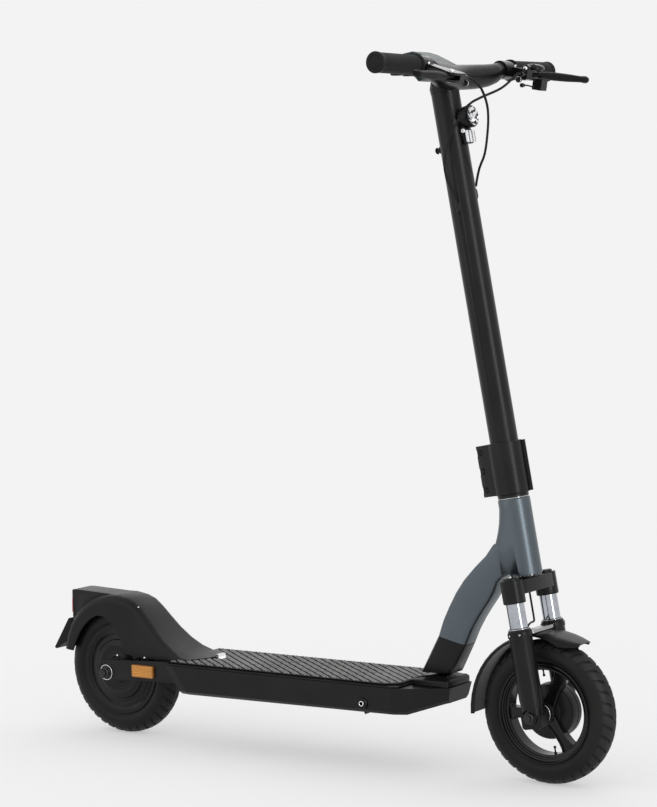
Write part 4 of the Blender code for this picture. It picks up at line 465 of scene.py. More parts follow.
def round_wheel(name, element, count, centre, slot_name, body, look, angle):
    """Repeats an element, modelled round the world's Y axis, about a wheel's axle."""
    bpy.context.scene.collection.objects.link(element)

    def build(net, source):
        one = net.add("GeometryNodeObjectInfo", None, {"Object": source["Element"]}, "Geometry")
        spots = net.add("GeometryNodeMeshLine", None, {"Count": source["Count"], "Offset": (0.0, 0.0, 0.0)})
        number = net.add("GeometryNodeInputIndex")
        turn = net.add("ShaderNodeCombineXYZ", None, {"Y": number * source["Step"]})
        values = {"Points": spots, "Instance": one, "Rotation": turn}
        ring = net.add("GeometryNodeInstanceOnPoints", None, values)
        values = {"Instances": ring, "Translation": source["Axle"], "Local Space": False}
        return net.add("GeometryNodeTranslateInstances", None, values)

    inputs = {
        "Element": ("NodeSocketObject", element),
        "Count": ("NodeSocketInt", count),
        "Step": ("NodeSocketFloat", 2 * math.pi / count),
        "Axle": ("NodeSocketVector", tuple(centre)),
    }
    return grown(name, build, inputs, slot_name, body, look, angle)


def screw_head():
    """A button head with a hex socket, one unit in radius."""
    rings = [(1.0, 0.0, 0), (1.0, 0.30, 0), (0.82, 0.62, 0), (0.62, 0.72, 0), (0.56, 0.72, 1),
             (0.52, 0.15, 1)]
    steps, corner = 24, math.pi / 3
    points = []
    for radius, along, hexed in rings:
        for i in range(steps):
            turn = 2 * math.pi * i / steps
            flat = math.cos(corner / 2) / math.cos((turn % corner) - corner / 2) if hexed else 1.0
            points.append((radius * flat * math.cos(turn), radius * flat * math.sin(turn), along))
    return points, rings_to_faces(steps, len(rings))


def screws(name, spots, slot_name, body, look):
    """Screw heads at (place, direction, radius)."""
    head = unit(name + ".head", *screw_head())
    places = [place for place, way, radius in spots]
    turns = [tuple(Vector(way).to_track_quat("Z", "Y").to_euler()) for place, way, radius in spots]
    sizes = [radius for place, way, radius in spots]
    return on_points(name, head, places, turns, slot_name, body, look, 35.0, sizes)


# Tyres

# Distance from the wheel's middle plane, then radius
TYRE_SIDE = [(0.0, WHEEL_R), (0.0065, WHEEL_R - 0.0003), (0.0135, WHEEL_R - 0.0030),
             (0.0200, WHEEL_R - 0.0090), (0.0246, WHEEL_R - 0.0168), (0.0264, WHEEL_R - 0.0245),
             (0.0246, 0.0925), (0.0198, 0.0877)]
# Radius, then distance from the middle plane
TYRE_INNER = [(0.0810, 0.0196), (0.0810, 0.0140), (0.1020, 0.0205), (0.1170, 0.0095)]
SHOULDER = (0.0045, 0.0215)
BEAD_R = 0.0985
BEAD_WIDE = 0.0012
BEAD_HIGH = 0.00035
LUGS = 38
LUG_ROWS = [0.0050, 0.0078, 0.0106, 0.0134, 0.0162, 0.0190, 0.0214]
LUG_COLUMNS = 5
LUG_START = 0.14
LUG_SHARE = 0.72
LUG_SLANT = 55.0
LUG_LEAN = 0.55
LUG_WORN = 0.0002
LUG_ROOT = 0.0006
GROOVE = 0.0022


def tyre(tag, centre_x, body):
    """Tyre with a smooth carcass, a plain middle rib and slanted tread blocks on both shoulders."""
    half = [(p.y, p.x) for p in through([Vector((y, r)) for y, r in TYRE_SIDE], 6)]
    carcass = []
    for r, y in half:
        sunk = GROOVE if SHOULDER[0] < y < SHOULDER[1] else 0.0
        bulge = BEAD_HIGH * math.exp(-((r - BEAD_R) / BEAD_WIDE) ** 2)
        carcass.append((r - sunk, y + bulge))
    right = [(r, -y) for r, y in carcass + TYRE_INNER]
    left = [(r, y) for r, y in carcass[1:] + TYRE_INNER]
    points, faces = wheel_lathe(left[::-1] + right, centre_x, 144)
    piece(tag + "_tyre.carcass", points, faces, "tyre", body, (tag + "_tyre",), angle=40)
    shape = [(p.x, p.y) for p in through([Vector((y, r)) for y, r in TYRE_SIDE], 12)]

    def crown(y):
        for (y0, r0), (y1, r1) in zip(shape, shape[1:]):
            if y0 <= y <= y1:
                return r0 + (r1 - r0) * (y - y0) / max(1e-9, y1 - y0)
        return WHEEL_R - 0.012

    pitch = 2 * math.pi / LUGS
    rows, wide = len(LUG_ROWS), LUG_COLUMNS
    for side, word in SIDES:
        points = []
        for layer in (0.0, -GROOVE - LUG_ROOT):
            for y in LUG_ROWS:
                lean = (y - LUG_ROWS[0]) * LUG_SLANT * pitch * LUG_LEAN + (0.5 * pitch if side > 0 else 0.0)
                for k in range(wide):
                    t = lean + pitch * (LUG_START + LUG_SHARE * k / (wide - 1))
                    worn = LUG_WORN if k in (0, wide - 1) and layer == 0 else 0.0
                    r = crown(y) + layer - worn
                    points.append((r * math.cos(t), side * y, r * math.sin(t)))
        faces = []
        for off in (0, rows * wide):
            for j in range(rows - 1):
                for i in range(wide - 1):
                    a = off + j * wide + i
                    faces.append((a, a + 1, a + wide + 1, a + wide))
        rim = list(range(wide)) + [wide * j + wide - 1 for j in range(1, rows)]
        rim += [wide * (rows - 1) + i for i in range(wide - 2, -1, -1)]
        rim += [wide * j for j in range(rows - 2, 0, -1)]
        for a, b in zip(rim, rim[1:] + rim[:1]):
            faces.append((a, b, b + rows * wide, a + rows * wide))
        block = unit("%s_block_%d" % (tag, side), points, faces)
        label = tag + "_tyre.blocks." + word
        round_wheel(label, block, LUGS, (centre_x, 0, WHEEL_R), "tyre", body, TREAD, angle=50)


tyre("front", FRONT_X, "front_wheel")
tyre("rear", REAR_X, "rear_wheel")


# Rear hub cover with its rings, front rim


def rear_hub():
    """Stepped cover over the rear motor, alike on both sides."""
    outer = [(0.0175, -0.0322), (0.0230, -0.0322), (0.0262, -0.0282), (0.0300, -0.0276), (0.0440, -0.0264),
             (0.0455, -0.0270), (0.0470, -0.0264), (0.0560, -0.0248), (0.0575, -0.0222), (0.0600, -0.0208),
             (0.0660, -0.0204), (0.0675, -0.0212), (0.0690, -0.0202), (0.0740, -0.0188), (0.0770, -0.0205),
             (0.0800, -0.0226), (0.0868, -0.0228), (0.0872, -0.0198), (0.0812, -0.0196)]
    inner = [(0.0780, -0.0120), (0.0560, -0.0160), (0.0120, -0.0200)]
    run = outer + inner
    profile = run + [(r, -y) for r, y in reversed(run)]
    points, faces = wheel_lathe(profile, REAR_X, 128)
    piece("rear_rim.cover", points, faces, "black_aluminium", "rear_wheel", ("rear_rim",), HUB_GLOSS, 28)


rear_hub()


def front_rim():
    """Barrel with stepped flanges, three channelled spokes, hub with the drum behind them, two valves."""
    side = [(0.0872, 0.0198), (0.0872, 0.0229), (0.0850, 0.0232), (0.0840, 0.0218), (0.0832, 0.0202),
            (0.0806, 0.0197), (0.0800, 0.0176), (0.0780, 0.0170), (0.0772, 0.0146), (0.0744, 0.0136),
            (0.0733, 0.0124)]
    profile = [(r, -y) for r, y in side] + side[::-1] + [(0.0812, 0.0196), (0.0812, -0.0196)]
    points, faces = wheel_lathe(profile, FRONT_X, 128)
    piece("front_rim.barrel", points, faces, "black_aluminium", "front_wheel", ("front_rim",), GLOSS, 28)
    hub = [(0.0063, -0.0300), (0.0150, -0.0300), (0.0163, -0.0292), (0.0176, -0.0272), (0.0178, -0.0215),
           (0.0196, -0.0206), (0.0196, -0.0192), (0.0180, -0.0184), (0.0180, -0.0084), (0.0232, -0.0072),
           (0.0240, -0.0080), (0.0250, -0.0072), (0.0440, -0.0064), (0.0470, -0.0052), (0.0480, -0.0020),
           (0.0480, 0.0150), (0.0486, 0.0155), (0.0486, 0.0180), (0.0480, 0.0185), (0.0480, 0.0262),
           (0.0420, 0.0262), (0.0420, 0.0060), (0.0160, 0.0060), (0.0160, 0.0200), (0.0063, 0.0200)]
    points, faces = wheel_lathe(hub, FRONT_X, 96)
    piece("front_rim.hub", points, faces, "black_aluminium", "front_wheel", angle=28)
    stations = ((0.0150, 0.0120, -0.0178), (0.024, 0.0104, -0.0168), (0.040, 0.0088, -0.0152),
                (0.056, 0.0092, -0.0146), (0.067, 0.0112, -0.0142), (0.0740, 0.0150, -0.0134))
    rail, deep, back, ease = 0.0024, 0.0036, 0.0030, 0.0008
    points, faces = [], []
    for degrees in (75.0, 195.0, 315.0):
        turn = math.radians(degrees) - RAKE
        first = len(points)
        for radius, half, face in stations:
            edge = half - rail
            section = [(-half, back), (-half, face + ease), (-half + ease, face), (-edge, face),
                       (-edge + ease, face + deep), (edge - ease, face + deep), (edge, face),
                       (half - ease, face), (half, face + ease), (half, back)]
            for across, y in section:
                x = radius * math.cos(turn) - across * math.sin(turn)
                z = radius * math.sin(turn) + across * math.cos(turn)
                points.append((FRONT_X + x, y, WHEEL_R + z))
        faces += [[first + i for i in corners] for corners in rings_to_faces(len(section), len(stations))]
    piece("front_rim.spokes", points, faces, "black_aluminium", "front_wheel", (), GLOSS, 25)
    centre = (FRONT_X, -0.0286, WHEEL_R)
    hoop("front_rim.hub_ring", centre, SIDEWAYS, 0.0172, 0.0007, "chrome", "front_wheel", BRIGHT)
    stem = [(0.0023, -0.0130), (0.0023, -0.0094), (0.0014, -0.0090), (0.0014, -0.0028), (0.0026, -0.0020),
            (0.0026, 0.0)]
    for label, degrees in (("high", 99.0), ("low", -82.0)):
        turn = math.radians(degrees)
        out = Vector((math.cos(turn), 0, math.sin(turn)))
        centre = Vector((FRONT_X, 0.0, WHEEL_R)) + out * 0.0734
        turned("front_rim.valve_" + label, centre, out, stem, "rubber", "front_wheel", steps=16)


front_rim()


# Deck mat ribs

RIB_PITCH = 0.0072
RIB_R = 0.0017
RIB_COUNT = 145
# Every third place stays bare
RIB_BARE = 3
RIB_START = -0.26
RIB_REACH = 0.09
RIB_SLANT = -0.236
RIB_SAMPLES = 90
MAT_MARGIN_X = 0.004
MAT_MARGIN_Y = 0.0035
LOOK_DOWN = 0.05


def mat_ribs():
    """Slanted ribs that stop short of the mat's edge: lines, cut to the mat, then given a round section."""
    low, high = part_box("deck_mat")

    def build(net, source):
        line = net.add("GeometryNodeMeshLine", None, {"Count": source["Count"], "Offset": (1.0, 0.0, 0.0)})
        number = net.add("GeometryNodeInputIndex")
        along = number * source["Pitch"] + low.x + RIB_START
        spot = net.add("ShaderNodeCombineXYZ", None, {"X": along, "Z": high.z})
        line = net.add("GeometryNodeSetPosition", None, {"Geometry": line, "Position": spot})
        spare = number.maths("FLOORED_MODULO", source["Bare"]).maths("COMPARE", 0.0, 0.5)
        line = net.add("GeometryNodeDeleteGeometry", None, {"Geometry": line, "Selection": spare})
        ends = {"Start": (0.0, -RIB_REACH, 0.0), "End": source["Slant"]}
        rib = net.add("GeometryNodeCurvePrimitiveLine", None, ends)
        rib = net.add("GeometryNodeResampleCurve", None, {"Curve": rib, "Count": source["Samples"]})
        ribs = net.add("GeometryNodeInstanceOnPoints", None, {"Points": line, "Instance": rib})
        ribs = net.add("GeometryNodeRealizeInstances", None, {0: ribs})
        field = net.add("GeometryNodeInputPosition")
        body = net.add("GeometryNodeObjectInfo", None, {"Object": source["Mat"]}, "Geometry")
        kept = None
        for x, y in ((MAT_MARGIN_X, 0.0), (-MAT_MARGIN_X, 0.0), (0.0, MAT_MARGIN_Y), (0.0, -MAT_MARGIN_Y)):
            above = net.add("ShaderNodeVectorMath", {"operation": "ADD"}, {0: field, 1: (x, y, LOOK_DOWN)})
            values = {"Target Geometry": body, "Source Position": above,
                      "Ray Direction": (0.0, 0.0, -1.0), "Ray Length": LOOK_DOWN + 0.0005}
            ray = net.add("GeometryNodeRaycast", {"data_type": "FLOAT"}, values, "Is Hit")
            kept = ray if kept is None else kept.maths("MULTIPLY", ray)
        gone = kept.maths("LESS_THAN", 0.5)
        ribs = net.add("GeometryNodeDeleteGeometry", None, {"Geometry": ribs, "Selection": gone})
        values = {"Resolution": 6, "Radius": source["Thickness"]}
        shape = net.add("GeometryNodeCurvePrimitiveCircle", None, values)
        values = {"Curve": ribs, "Profile Curve": shape, "Fill Caps": True}
        return net.add("GeometryNodeCurveToMesh", None, values)

    inputs = {
        "Mat": ("NodeSocketObject", nodes["deck_mat"]),
        "Pitch": ("NodeSocketFloat", RIB_PITCH),
        "Bare": ("NodeSocketInt", RIB_BARE),
        "Count": ("NodeSocketInt", RIB_COUNT),
        "Slant": ("NodeSocketVector", (RIB_SLANT, RIB_REACH, 0.0)),
        "Samples": ("NodeSocketInt", RIB_SAMPLES),
        "Thickness": ("NodeSocketFloat", RIB_R),
    }

    def rope(net, place):
        bands = {"wave_type": "BANDS", "bands_direction": "DIAGONAL"}
        values = {"Vector": place, "Scale": 95.0, "Distortion": 0.4}
        return net.add("ShaderNodeTexWave", bands, values, "Fac")

    # Painted sheen: the black mat's ribs are coloured grey for the light they catch, with cloudy wear; the
    # wave pattern only bumps them.
    look = finish("rubber", "mat_rib", rough=0.38, pattern=rope, depth=0.9,
                  colour=(0.170, 0.170, 0.168), worn=(0.270, 0.270, 0.264))
    grown("deck_mat.ribs", build, inputs, "rubber", "frame", look, angle=60)


mat_ribs()


# Grips with their knurling

GRIP_IN = BAR_HALF - GRIP_LEN
GRIP_SLEEVE = [
    (GRIP_IN, 0.0118), (GRIP_IN, 0.0184), (GRIP_IN + 0.0010, 0.0190), (GRIP_IN + 0.0040, 0.0190),
    (GRIP_IN + 0.0052, 0.0182), (GRIP_IN + 0.0062, GRIP_R), (BAR_HALF - 0.080, GRIP_R),
    (BAR_HALF - 0.045, GRIP_R + 0.0004), (BAR_HALF - 0.012, GRIP_R), (BAR_HALF - 0.0085, GRIP_R + 0.0001),
    (BAR_HALF - 0.0070, GRIP_R + 0.0014), (BAR_HALF - 0.0020, GRIP_R + 0.0018),
    (BAR_HALF - 0.0006, GRIP_R + 0.0010), (BAR_HALF, GRIP_R - 0.0010), (BAR_HALF, 0.0124),
    (BAR_HALF - 0.0008, 0.0118), (BAR_HALF - 0.0008, 0.0096), (BAR_HALF - 0.0002, 0.0090),
    (BAR_HALF - 0.0002, 0.0030)]
STUD_HIGH = 0.0008
STUD_HALF = 0.0019
STUD_ROOT = -0.0002
STUD_PITCH = 0.0040
STUDS_AROUND = 26


def grips():
    """Sleeves with flanges at both ends, and rows of four-sided studs."""
    high, half, root = STUD_HIGH, STUD_HALF, STUD_ROOT
    corners = [(-half, 0, root), (0, -half, root), (half, 0, root), (0, half, root), (0, 0, high)]
    sides = [(0, 1, 4), (1, 2, 4), (2, 3, 4), (3, 0, 4), (3, 2, 1, 0)]
    first, last = GRIP_IN + 0.010, BAR_HALF - 0.014
    for side, tag in SIDES:
        points = []
        for y, radius in GRIP_SLEEVE:
            x, s = bar_centre(y)
            points += [steer(x + radius * c, side * y, s + radius * n) for c, n in circle(48)]
        faces = rings_to_faces(48, len(GRIP_SLEEVE))
        piece("grip_%s.sleeve" % tag, points, faces, "rubber", "stem", ("grip_" + tag,), angle=30)
        stud = unit("stud_" + tag, corners, sides)
        places, turns = [], []
        for row in range(int((last - first) / (STUD_PITCH / 2))):
            y = first + row * STUD_PITCH / 2
            x, s = bar_centre(y)
            for i in range(STUDS_AROUND):
                turn = 2 * math.pi * (i + 0.5 * (row % 2)) / STUDS_AROUND
                places.append(steer(x + GRIP_R * math.cos(turn), side * y, s + GRIP_R * math.sin(turn)))
                turns.append((0.0, math.pi / 2 - turn - RAKE, 0.0))
        on_points("grip_%s.knurl" % tag, stud, places, turns, "rubber", "stem", KNURL, angle=20)


grips()


# Lamp, reflectors and small metal parts


def on_perch(side, y, e, n):
    """World place in a brake lever's frame: y along the bar, e out from it, n square to both."""
    x, s = bar_centre(y)
    c, k = math.cos(PERCH_TILT[side]), math.sin(PERCH_TILT[side])
    return steer(x + e * c - n * k, side * y, s + e * k + n * c)


MIRROR_STEPS = 20
# Radius and depth of each ring of the mirror's flat faces
MIRROR_RINGS = ((0.0166, 0.0068), (0.0130, 0.0036), (0.0088, 0.0018), (0.0046, 0.0010))
MIRROR_WAVE = 0.0007


def lamp():
    """Faceted mirror with painted dark reflections, behind a bezel, with its bulb, and the ribbed reflector
    under it, whose ribs' shade is painted as stripes.
    """
    steps = MIRROR_STEPS
    points, faces = [], []

    def ring(radius, deep, wave=0.0, shift=0.0):
        for i in range(steps):
            turn = 2 * math.pi * (i + shift) / steps
            middle = steer(LAMP_X + deep + wave * (-1) ** i, 0, LAMP_S)
            points.append(middle + Vector((0, radius * math.cos(turn), 0)) + UP * radius * math.sin(turn))

    for j, (radius, deep) in enumerate(MIRROR_RINGS):
        ring(radius, deep, MIRROR_WAVE * (-1) ** j, 0.5 * (j % 2))
    tip = len(points)
    points.append(steer(LAMP_X + 0.0004, 0, LAMP_S))
    for j in range(len(MIRROR_RINGS) - 1):
        for i in range(steps):
            a, b = j * steps + i, j * steps + (i + 1) % steps
            c, d = a + steps, b + steps
            faces += [(a, b, c), (b, d, c)] if j % 2 == 0 else [(a, b, d), (a, d, c)]
    inmost = tip - steps
    faces += [(inmost + i, inmost + (i + 1) % steps, tip) for i in range(steps)]
    back = len(points)
    ring(MIRROR_RINGS[0][0], 0.0002)
    faces += [(i, back + i, back + (i + 1) % steps, (i + 1) % steps) for i in range(steps)]
    faces.append([back + i for i in range(steps)])

    # Painted reflection: noise lays dark patches over the mirror's colour, standing in for dark things it
    # would reflect.
    def painted_dark_reflections(net, place, shade):
        dark = ((noise(net, place, 170.0, 1.0) - 0.47) * 14.0).clamped(0.0, 1.0)
        return tint(net, dark, shade, (0.045, 0.045, 0.048))

    mirror = finish("chrome", "lamp_mirror", rough=0.10, paint=painted_dark_reflections)
    piece("headlamp_lens.mirror", points, faces, "clear_lens", "stem", ("headlamp_lens",), mirror, 1)
    bulb = [(0.0030, 0.0), (0.0030, 0.0030), (0.0022, 0.0044), (0.0008, 0.0050)]
    turned("headlamp_lens.bulb", steer(LAMP_X, 0, LAMP_S), AHEAD, bulb, "clear_lens", "stem")
    front = steer(LAMP_X + 0.0058, 0, LAMP_S)
    hoop("headlamp_lens.bezel", front, AHEAD, 0.0172, 0.0010, "black_plastic", "stem", GLOSS)

    # Painted shade: dark vertical stripes stand for the shaded sides of the lens's ribs, which are not
    # modelled.
    def painted_rib_shade(net, place, shade):
        across = net.add("ShaderNodeSeparateXYZ", None, {0: place}, "Y")
        rib_shade_stripe = (across * 640.0).maths("SINE").maths("GREATER_THAN", 0.25)
        return tint(net, rib_shade_stripe, shade, (0.16, 0.155, 0.16))

    smoothed("front_reflector", finish("clear_lens", "ribbed_lens", paint=painted_rib_shade), 0.0006)


lamp()


CELL_R = 0.0016
CELL_HIGH = 0.0007
CELL_PITCH_X = 0.0030
CELL_PITCH_Z = 0.0029
CELL_MARGIN = 0.0028
CELL_ROWS = 7
CELL_COLUMNS = 16


def lens_cells():
    """Small domes in staggered rows over both side reflectors' faces."""
    for side, tag in SIDES:
        low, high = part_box("reflector_" + tag)
        face = high.y if side > 0 else low.y
        dome = [(CELL_R * c, CELL_R * n, 0.0) for c, n in circle(6)] + [(0.0, 0.0, CELL_HIGH)]
        cell = unit("cell_" + tag, dome, [(i, (i + 1) % 6, 6) for i in range(6)] + [list(range(6))])
        places, turns = [], []
        for row in range(CELL_ROWS):
            for column in range(CELL_COLUMNS):
                x = low.x + CELL_MARGIN + column * CELL_PITCH_X + 0.5 * CELL_PITCH_X * (row % 2)
                z = low.z + CELL_MARGIN + row * CELL_PITCH_Z
                if x < high.x - 0.0022 and z < high.z - 0.0018:
                    places.append((x, face, z))
                    turns.append((math.radians(-90 * side), 0.0, 0.0))
        on_points("reflector_%s.cells" % tag, cell, places, turns, "amber_lens", "frame", angle=10)


lens_cells()


def nuts():
    """Axle nuts with bright rings and tips, and the charge socket with its ring."""
    low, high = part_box("rear_nut")
    centre = (REAR_X, high.y - 0.0006, WHEEL_R)
    hoop("rear_nut.ring", centre, SIDEWAYS, 0.0140, 0.0007, "chrome", "frame", BRIGHT)
    smoothed("rear_nut", DARK_METAL, 0.0006)
    centre = (REAR_X, low.y + 0.0022, WHEEL_R)
    tip = [(0.0057, 0.0), (0.0057, 0.0016), (0.0045, 0.0024)]
    turned("rear_nut.tip", centre, SIDEWAYS, tip, "steel", "frame", DARK_METAL)
    centre = (REAR_X, low.y + 0.0006, WHEEL_R)
    hoop("rear_nut.edge", centre, SIDEWAYS, 0.0084, 0.0004, "chrome", "frame", BRIGHT)
    low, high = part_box("front_nut")
    smoothed("front_nut", DARK_METAL, 0.0006)
    centre = (FRONT_X, low.y + 0.0024, WHEEL_R)
    tip = [(0.0052, 0.0), (0.0052, 0.0010), (0.0040, 0.0016)]
    turned("front_nut.tip", centre, SIDEWAYS, tip, "steel", "fork_lower", DARK_METAL)
    spots = [((FRONT_X, low.y + 0.0010, WHEEL_R), SIDEWAYS, 0.0028)]
    screws("front_nut.centre", spots, "chrome", "fork_lower", PALE_METAL)
    low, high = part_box("charge_socket")
    middle = (low + high) / 2
    smoothed("charge_socket", finish("black_plastic", "socket_black"), 0.0004)
    centre = (middle.x, low.y - 0.0002, middle.z)
    hoop("charge_socket.ring", centre, SIDEWAYS, 0.0041, 0.0008, "chrome", "frame", BRIGHT)


nuts()


def body_screws():
    """Screws of the neck, the rear fender and the lamp's bracket."""
    down = Vector((0.62, 0, -0.42))
    spots = [((0.2960, -0.016, 0.1880), down, 0.0022), ((0.3010, 0.016, 0.1900), down, 0.0022)]
    screws("neck_base.screws", spots, "black_steel", "frame", DARK_METAL)
    spots = [((-0.3895, -0.0350, 0.2500), (0.1, -0.8, 0.6), 0.0016),
             ((-0.4217, -0.0632, 0.1600), SIDEWAYS, 0.0018),
             ((-0.3558, -0.0632, 0.1605), SIDEWAYS, 0.0018)]
    screws("rear_fender.screws", spots, "chrome", "frame", BRIGHT)
    x, s = LAMP_BRACKET_X, LAMP_BRACKET_S
    hoop("lamp_screw.washer", steer(x, -0.0105, s), SIDEWAYS, 0.0058, 0.0011, "black_plastic", "stem", GLOSS)
    boss = [(0.0054, 0.0), (0.0054, 0.0022), (0.0050, 0.0028)]
    turned("lamp_screw.boss", steer(x, -0.0090, s), SIDEWAYS, boss, "black_plastic", "stem", GLOSS)
    screws("lamp_screw.head", [(steer(x, -0.0116, s), SIDEWAYS, 0.0040)], "chrome", "stem", PALE_METAL)


body_screws()


CLAMP_Y = 0.142


def perch_metal():
    """Cable adjusters, pivot screws and clamp screws of both brake levers."""
    adjuster = [(0.0030, -0.004), (0.0030, 0.0), (0.0054, 0.0004), (0.0054, 0.0034), (0.0036, 0.0044),
                (0.0036, 0.0062), (0.0026, 0.0066)]
    for side, tag in SIDES:
        along = Vector((0, -side, 0))
        centre = on_perch(side, 0.088, 0.0618, 0.0)
        turned("adjuster_" + tag, centre, along, adjuster, "black_steel", "stem", GLOSS)
        centre = centre + along * 0.0036
        hoop("adjuster_%s.ring" % tag, centre, along, 0.0052, 0.0004, "chrome", "stem", BRIGHT)
        top = on_perch(side, PIVOT_Y, PIVOT_OUT, 0.0085)
        above = on_perch(side, PIVOT_Y, PIVOT_OUT, 0.0185) - top
        outwards = on_perch(side, CLAMP_Y, 0.0160, 0.0) - on_perch(side, CLAMP_Y, 0.0, 0.0)
        spots = [(top, above, 0.0044),
                 (on_perch(side, PIVOT_Y, PIVOT_OUT, -0.0085), -above, 0.0040),
                 (on_perch(side, CLAMP_Y, 0.0170, 0.0090), outwards, 0.0030),
                 (on_perch(side, CLAMP_Y, 0.0170, -0.0090), outwards, 0.0030)]
        screws("perch_%s.screws" % tag, spots, "steel", "stem", BRIGHT)


perch_metal()


# Name, place and profile of a knob, then name, place and radius of its screw, in the left lever's frame
LEFT_KNOBS = (
    ("knob", (0.1125, 0.0556, 0.0120),
     [(0.0030, -0.010), (0.0068, -0.009), (0.0070, 0.0), (0.0060, 0.0014)],
     "knob_screw", (0.1115, 0.0556, 0.0122), 0.0042),
    ("second_knob", (0.1300, 0.0610, 0.0120),
     [(0.0030, -0.006), (0.0062, -0.005), (0.0064, 0.0), (0.0054, 0.0014)],
     "second_screw", (0.1288, 0.0610, 0.0108), 0.0030),
)
LEAD_RUN = ((0.0985, 0.0612, -0.0118), (0.112, 0.0640, -0.0160), (0.126, 0.0655, -0.0205),
            (0.138, 0.0670, -0.0220))
LEAD_R = 0.0013
HOOD_ROWS = 9
HOOD_STEPS = 24
HOOD_SQUARE = 2.6


def left_controls():
    """Two knobs, a rounded hood and a short lead with its clip, by the left brake lever."""
    for name, place, profile, screw, screw_place, radius in LEFT_KNOBS:
        centre = on_perch(1, *place)
        turned("perch_left." + name, centre, SIDEWAYS, profile, "black_plastic", "stem", GLOSS)
        spots = [(on_perch(1, *screw_place), SIDEWAYS, radius)]
        screws("perch_left." + screw, spots, "chrome", "stem", PALE_METAL)
    points = []
    for j in range(HOOD_ROWS):
        a = math.pi * (j / (HOOD_ROWS - 1) - 0.5)
        wide = math.cos(a) ** 0.5 if 0 < j < HOOD_ROWS - 1 else 0.05
        for c, n in circle(HOOD_STEPS):
            grow = wide * (abs(c) ** HOOD_SQUARE + abs(n) ** HOOD_SQUARE) ** (-1 / HOOD_SQUARE)
            y = 0.1395 + 0.0150 * math.sin(a)
            points.append(on_perch(1, y, 0.0590 + 0.0150 * grow * c, 0.0115 + 0.0068 * grow * n))
    faces = rings_to_faces(HOOD_STEPS, HOOD_ROWS)
    piece("perch_left.hood", points, faces, "black_plastic", "stem", (), GLOSS, 50)
    ball = [(0.0016, -0.0075), (0.0030, -0.0070), (0.0038, -0.0030), (0.0038, 0.0010), (0.0026, 0.0026)]
    centre = on_perch(1, 0.0985, 0.0606, -0.0120)
    turned("perch_left.lead_clip", centre, SIDEWAYS, ball, "black_plastic", "stem", GLOSS)
    lead = through([on_perch(1, *place) for place in LEAD_RUN], 6)
    points = [spot + AHEAD * LEAD_R * c + UP * LEAD_R * n for spot in lead for c, n in circle(10)]
    piece("perch_left.lead", points, rings_to_faces(10, len(lead)), "rubber", "stem", angle=50)


left_controls()


SEAL = [(0.0156, -0.001), (0.0196, -0.001), (0.0200, 0.0010), (0.0190, 0.0030), (0.0176, 0.0034),
        (0.0172, 0.0052), (0.0162, 0.0058), (0.0156, 0.0058)]
SEAL_S = 0.1470
# Name, height up the steering axis, radius, thickness, slot, body, look
LEG_RINGS = (
    ("lower_leg_%s.seal_ring", 0.1511, 0.0185, 0.0005, "chrome", "fork_lower", BRIGHT),
    ("lower_leg_%s.groove", 0.1372, 0.0204, 0.0004, "steel", "fork_lower", DARK_METAL),
    ("fork_crown.cap_%s", 0.2368, 0.0134, 0.0005, "steel", "steering", DARK_METAL),
    ("fork_crown.lip_%s", 0.1952, 0.0186, 0.0004, "steel", "steering", DARK_METAL),
)


def fork_trim():
    """Seals, thin rings and pips of the fork's legs and crown, and the headset's two lines."""
    for side, tag in SIDES:
        y = side * LEG_Y
        points = [steer(LEG_X + radius * c, y + radius * n, SEAL_S + along)
                  for radius, along in SEAL for c, n in circle(40)]
        faces = rings_to_faces(40, len(SEAL), closed=True)
        piece("lower_leg_%s.seal" % tag, points, faces, "rubber", "fork_lower", (), GLOSS, 28)
        for name, s, radius, thick, slot_name, body, look in LEG_RINGS:
            hoop(name % tag, steer(LEG_X, y, s), UP, radius, thick, slot_name, body, look)
        spots = []
        for degrees in (-118, -62, 62, 118):
            turn = math.radians(-degrees * side)
            way = steer(math.cos(turn), math.sin(turn), 0) - steer(0, 0, 0)
            spots.append((steer(LEG_X, y, 0.1420) + way * 0.0208, way, 0.0017))
        screws("lower_leg_%s.pips" % tag, spots, "steel", "fork_lower", BRIGHT)
    hoop("headset_upper.line", steer(0, 0, 0.3712), UP, 0.0268, 0.0005, "steel", "frame", BRIGHT)
    hoop("headset_lower.line", steer(0, 0, 0.2368), UP, 0.0262, 0.0005, "steel", "frame", BRIGHT)


fork_trim()


# The rest of the CAD pieces, with eased edges


def tail_lens():
    """Red lens, paler and pinkish in its upper part."""
    low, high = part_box("tail_light")

    def paler_top(net, place, shade):
        tall = net.add("ShaderNodeSeparateXYZ", None, {0: place}, "Z")
        share = ((tall - (low.z * 0.42 + high.z * 0.58)) * 400.0).clamped(0.0, 1.0)
        return tint(net, share, shade, (0.52, 0.42, 0.42))

    return finish("red_lens", "tail_lens", paint=paler_top)


EASED = {
    "deck_tub": 0.0008, "deck_plate": 0.0003, "neck_base": 0.0010, "fold_collar": 0.0006,
    "fork_crown": 0.0008, "lower_leg_right": 0.0005, "lower_leg_left": 0.0005, "dropout_right": 0.0007,
    "dropout_left": 0.0007, "perch_right": 0.0005, "perch_left": 0.0005, "mud_flap": 0.0006,
    "fold_lever": 0.0005, "kickstand_leg": 0.0005, "throttle_lever": 0.0005, "tail_light": 0.0006,
}
SPECIAL = {
    "headset_upper": DARK_METAL, "headset_lower": DARK_METAL, "rear_axle": DARK_METAL,
    "front_axle": DARK_METAL, "fold_catch": BRIGHT, "brake_lever_right": MATT_LEVER,
    "brake_lever_left": MATT_LEVER, "deck_mat": MAT_BASE, "perch_right": GLOSS, "perch_left": GLOSS,
    "stanchion_right": SLIDER, "stanchion_left": SLIDER, "reflector_left": DEEP_AMBER,
    "reflector_right": DEEP_AMBER, "tail_light": tail_lens(),
}
done = {name for item in bpy.data.objects for name in item.get("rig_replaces", [])}
for node in nodes:
    if node not in done:
        smoothed(node, SPECIAL.get(node), EASED.get(node, 0.0))


# Studio

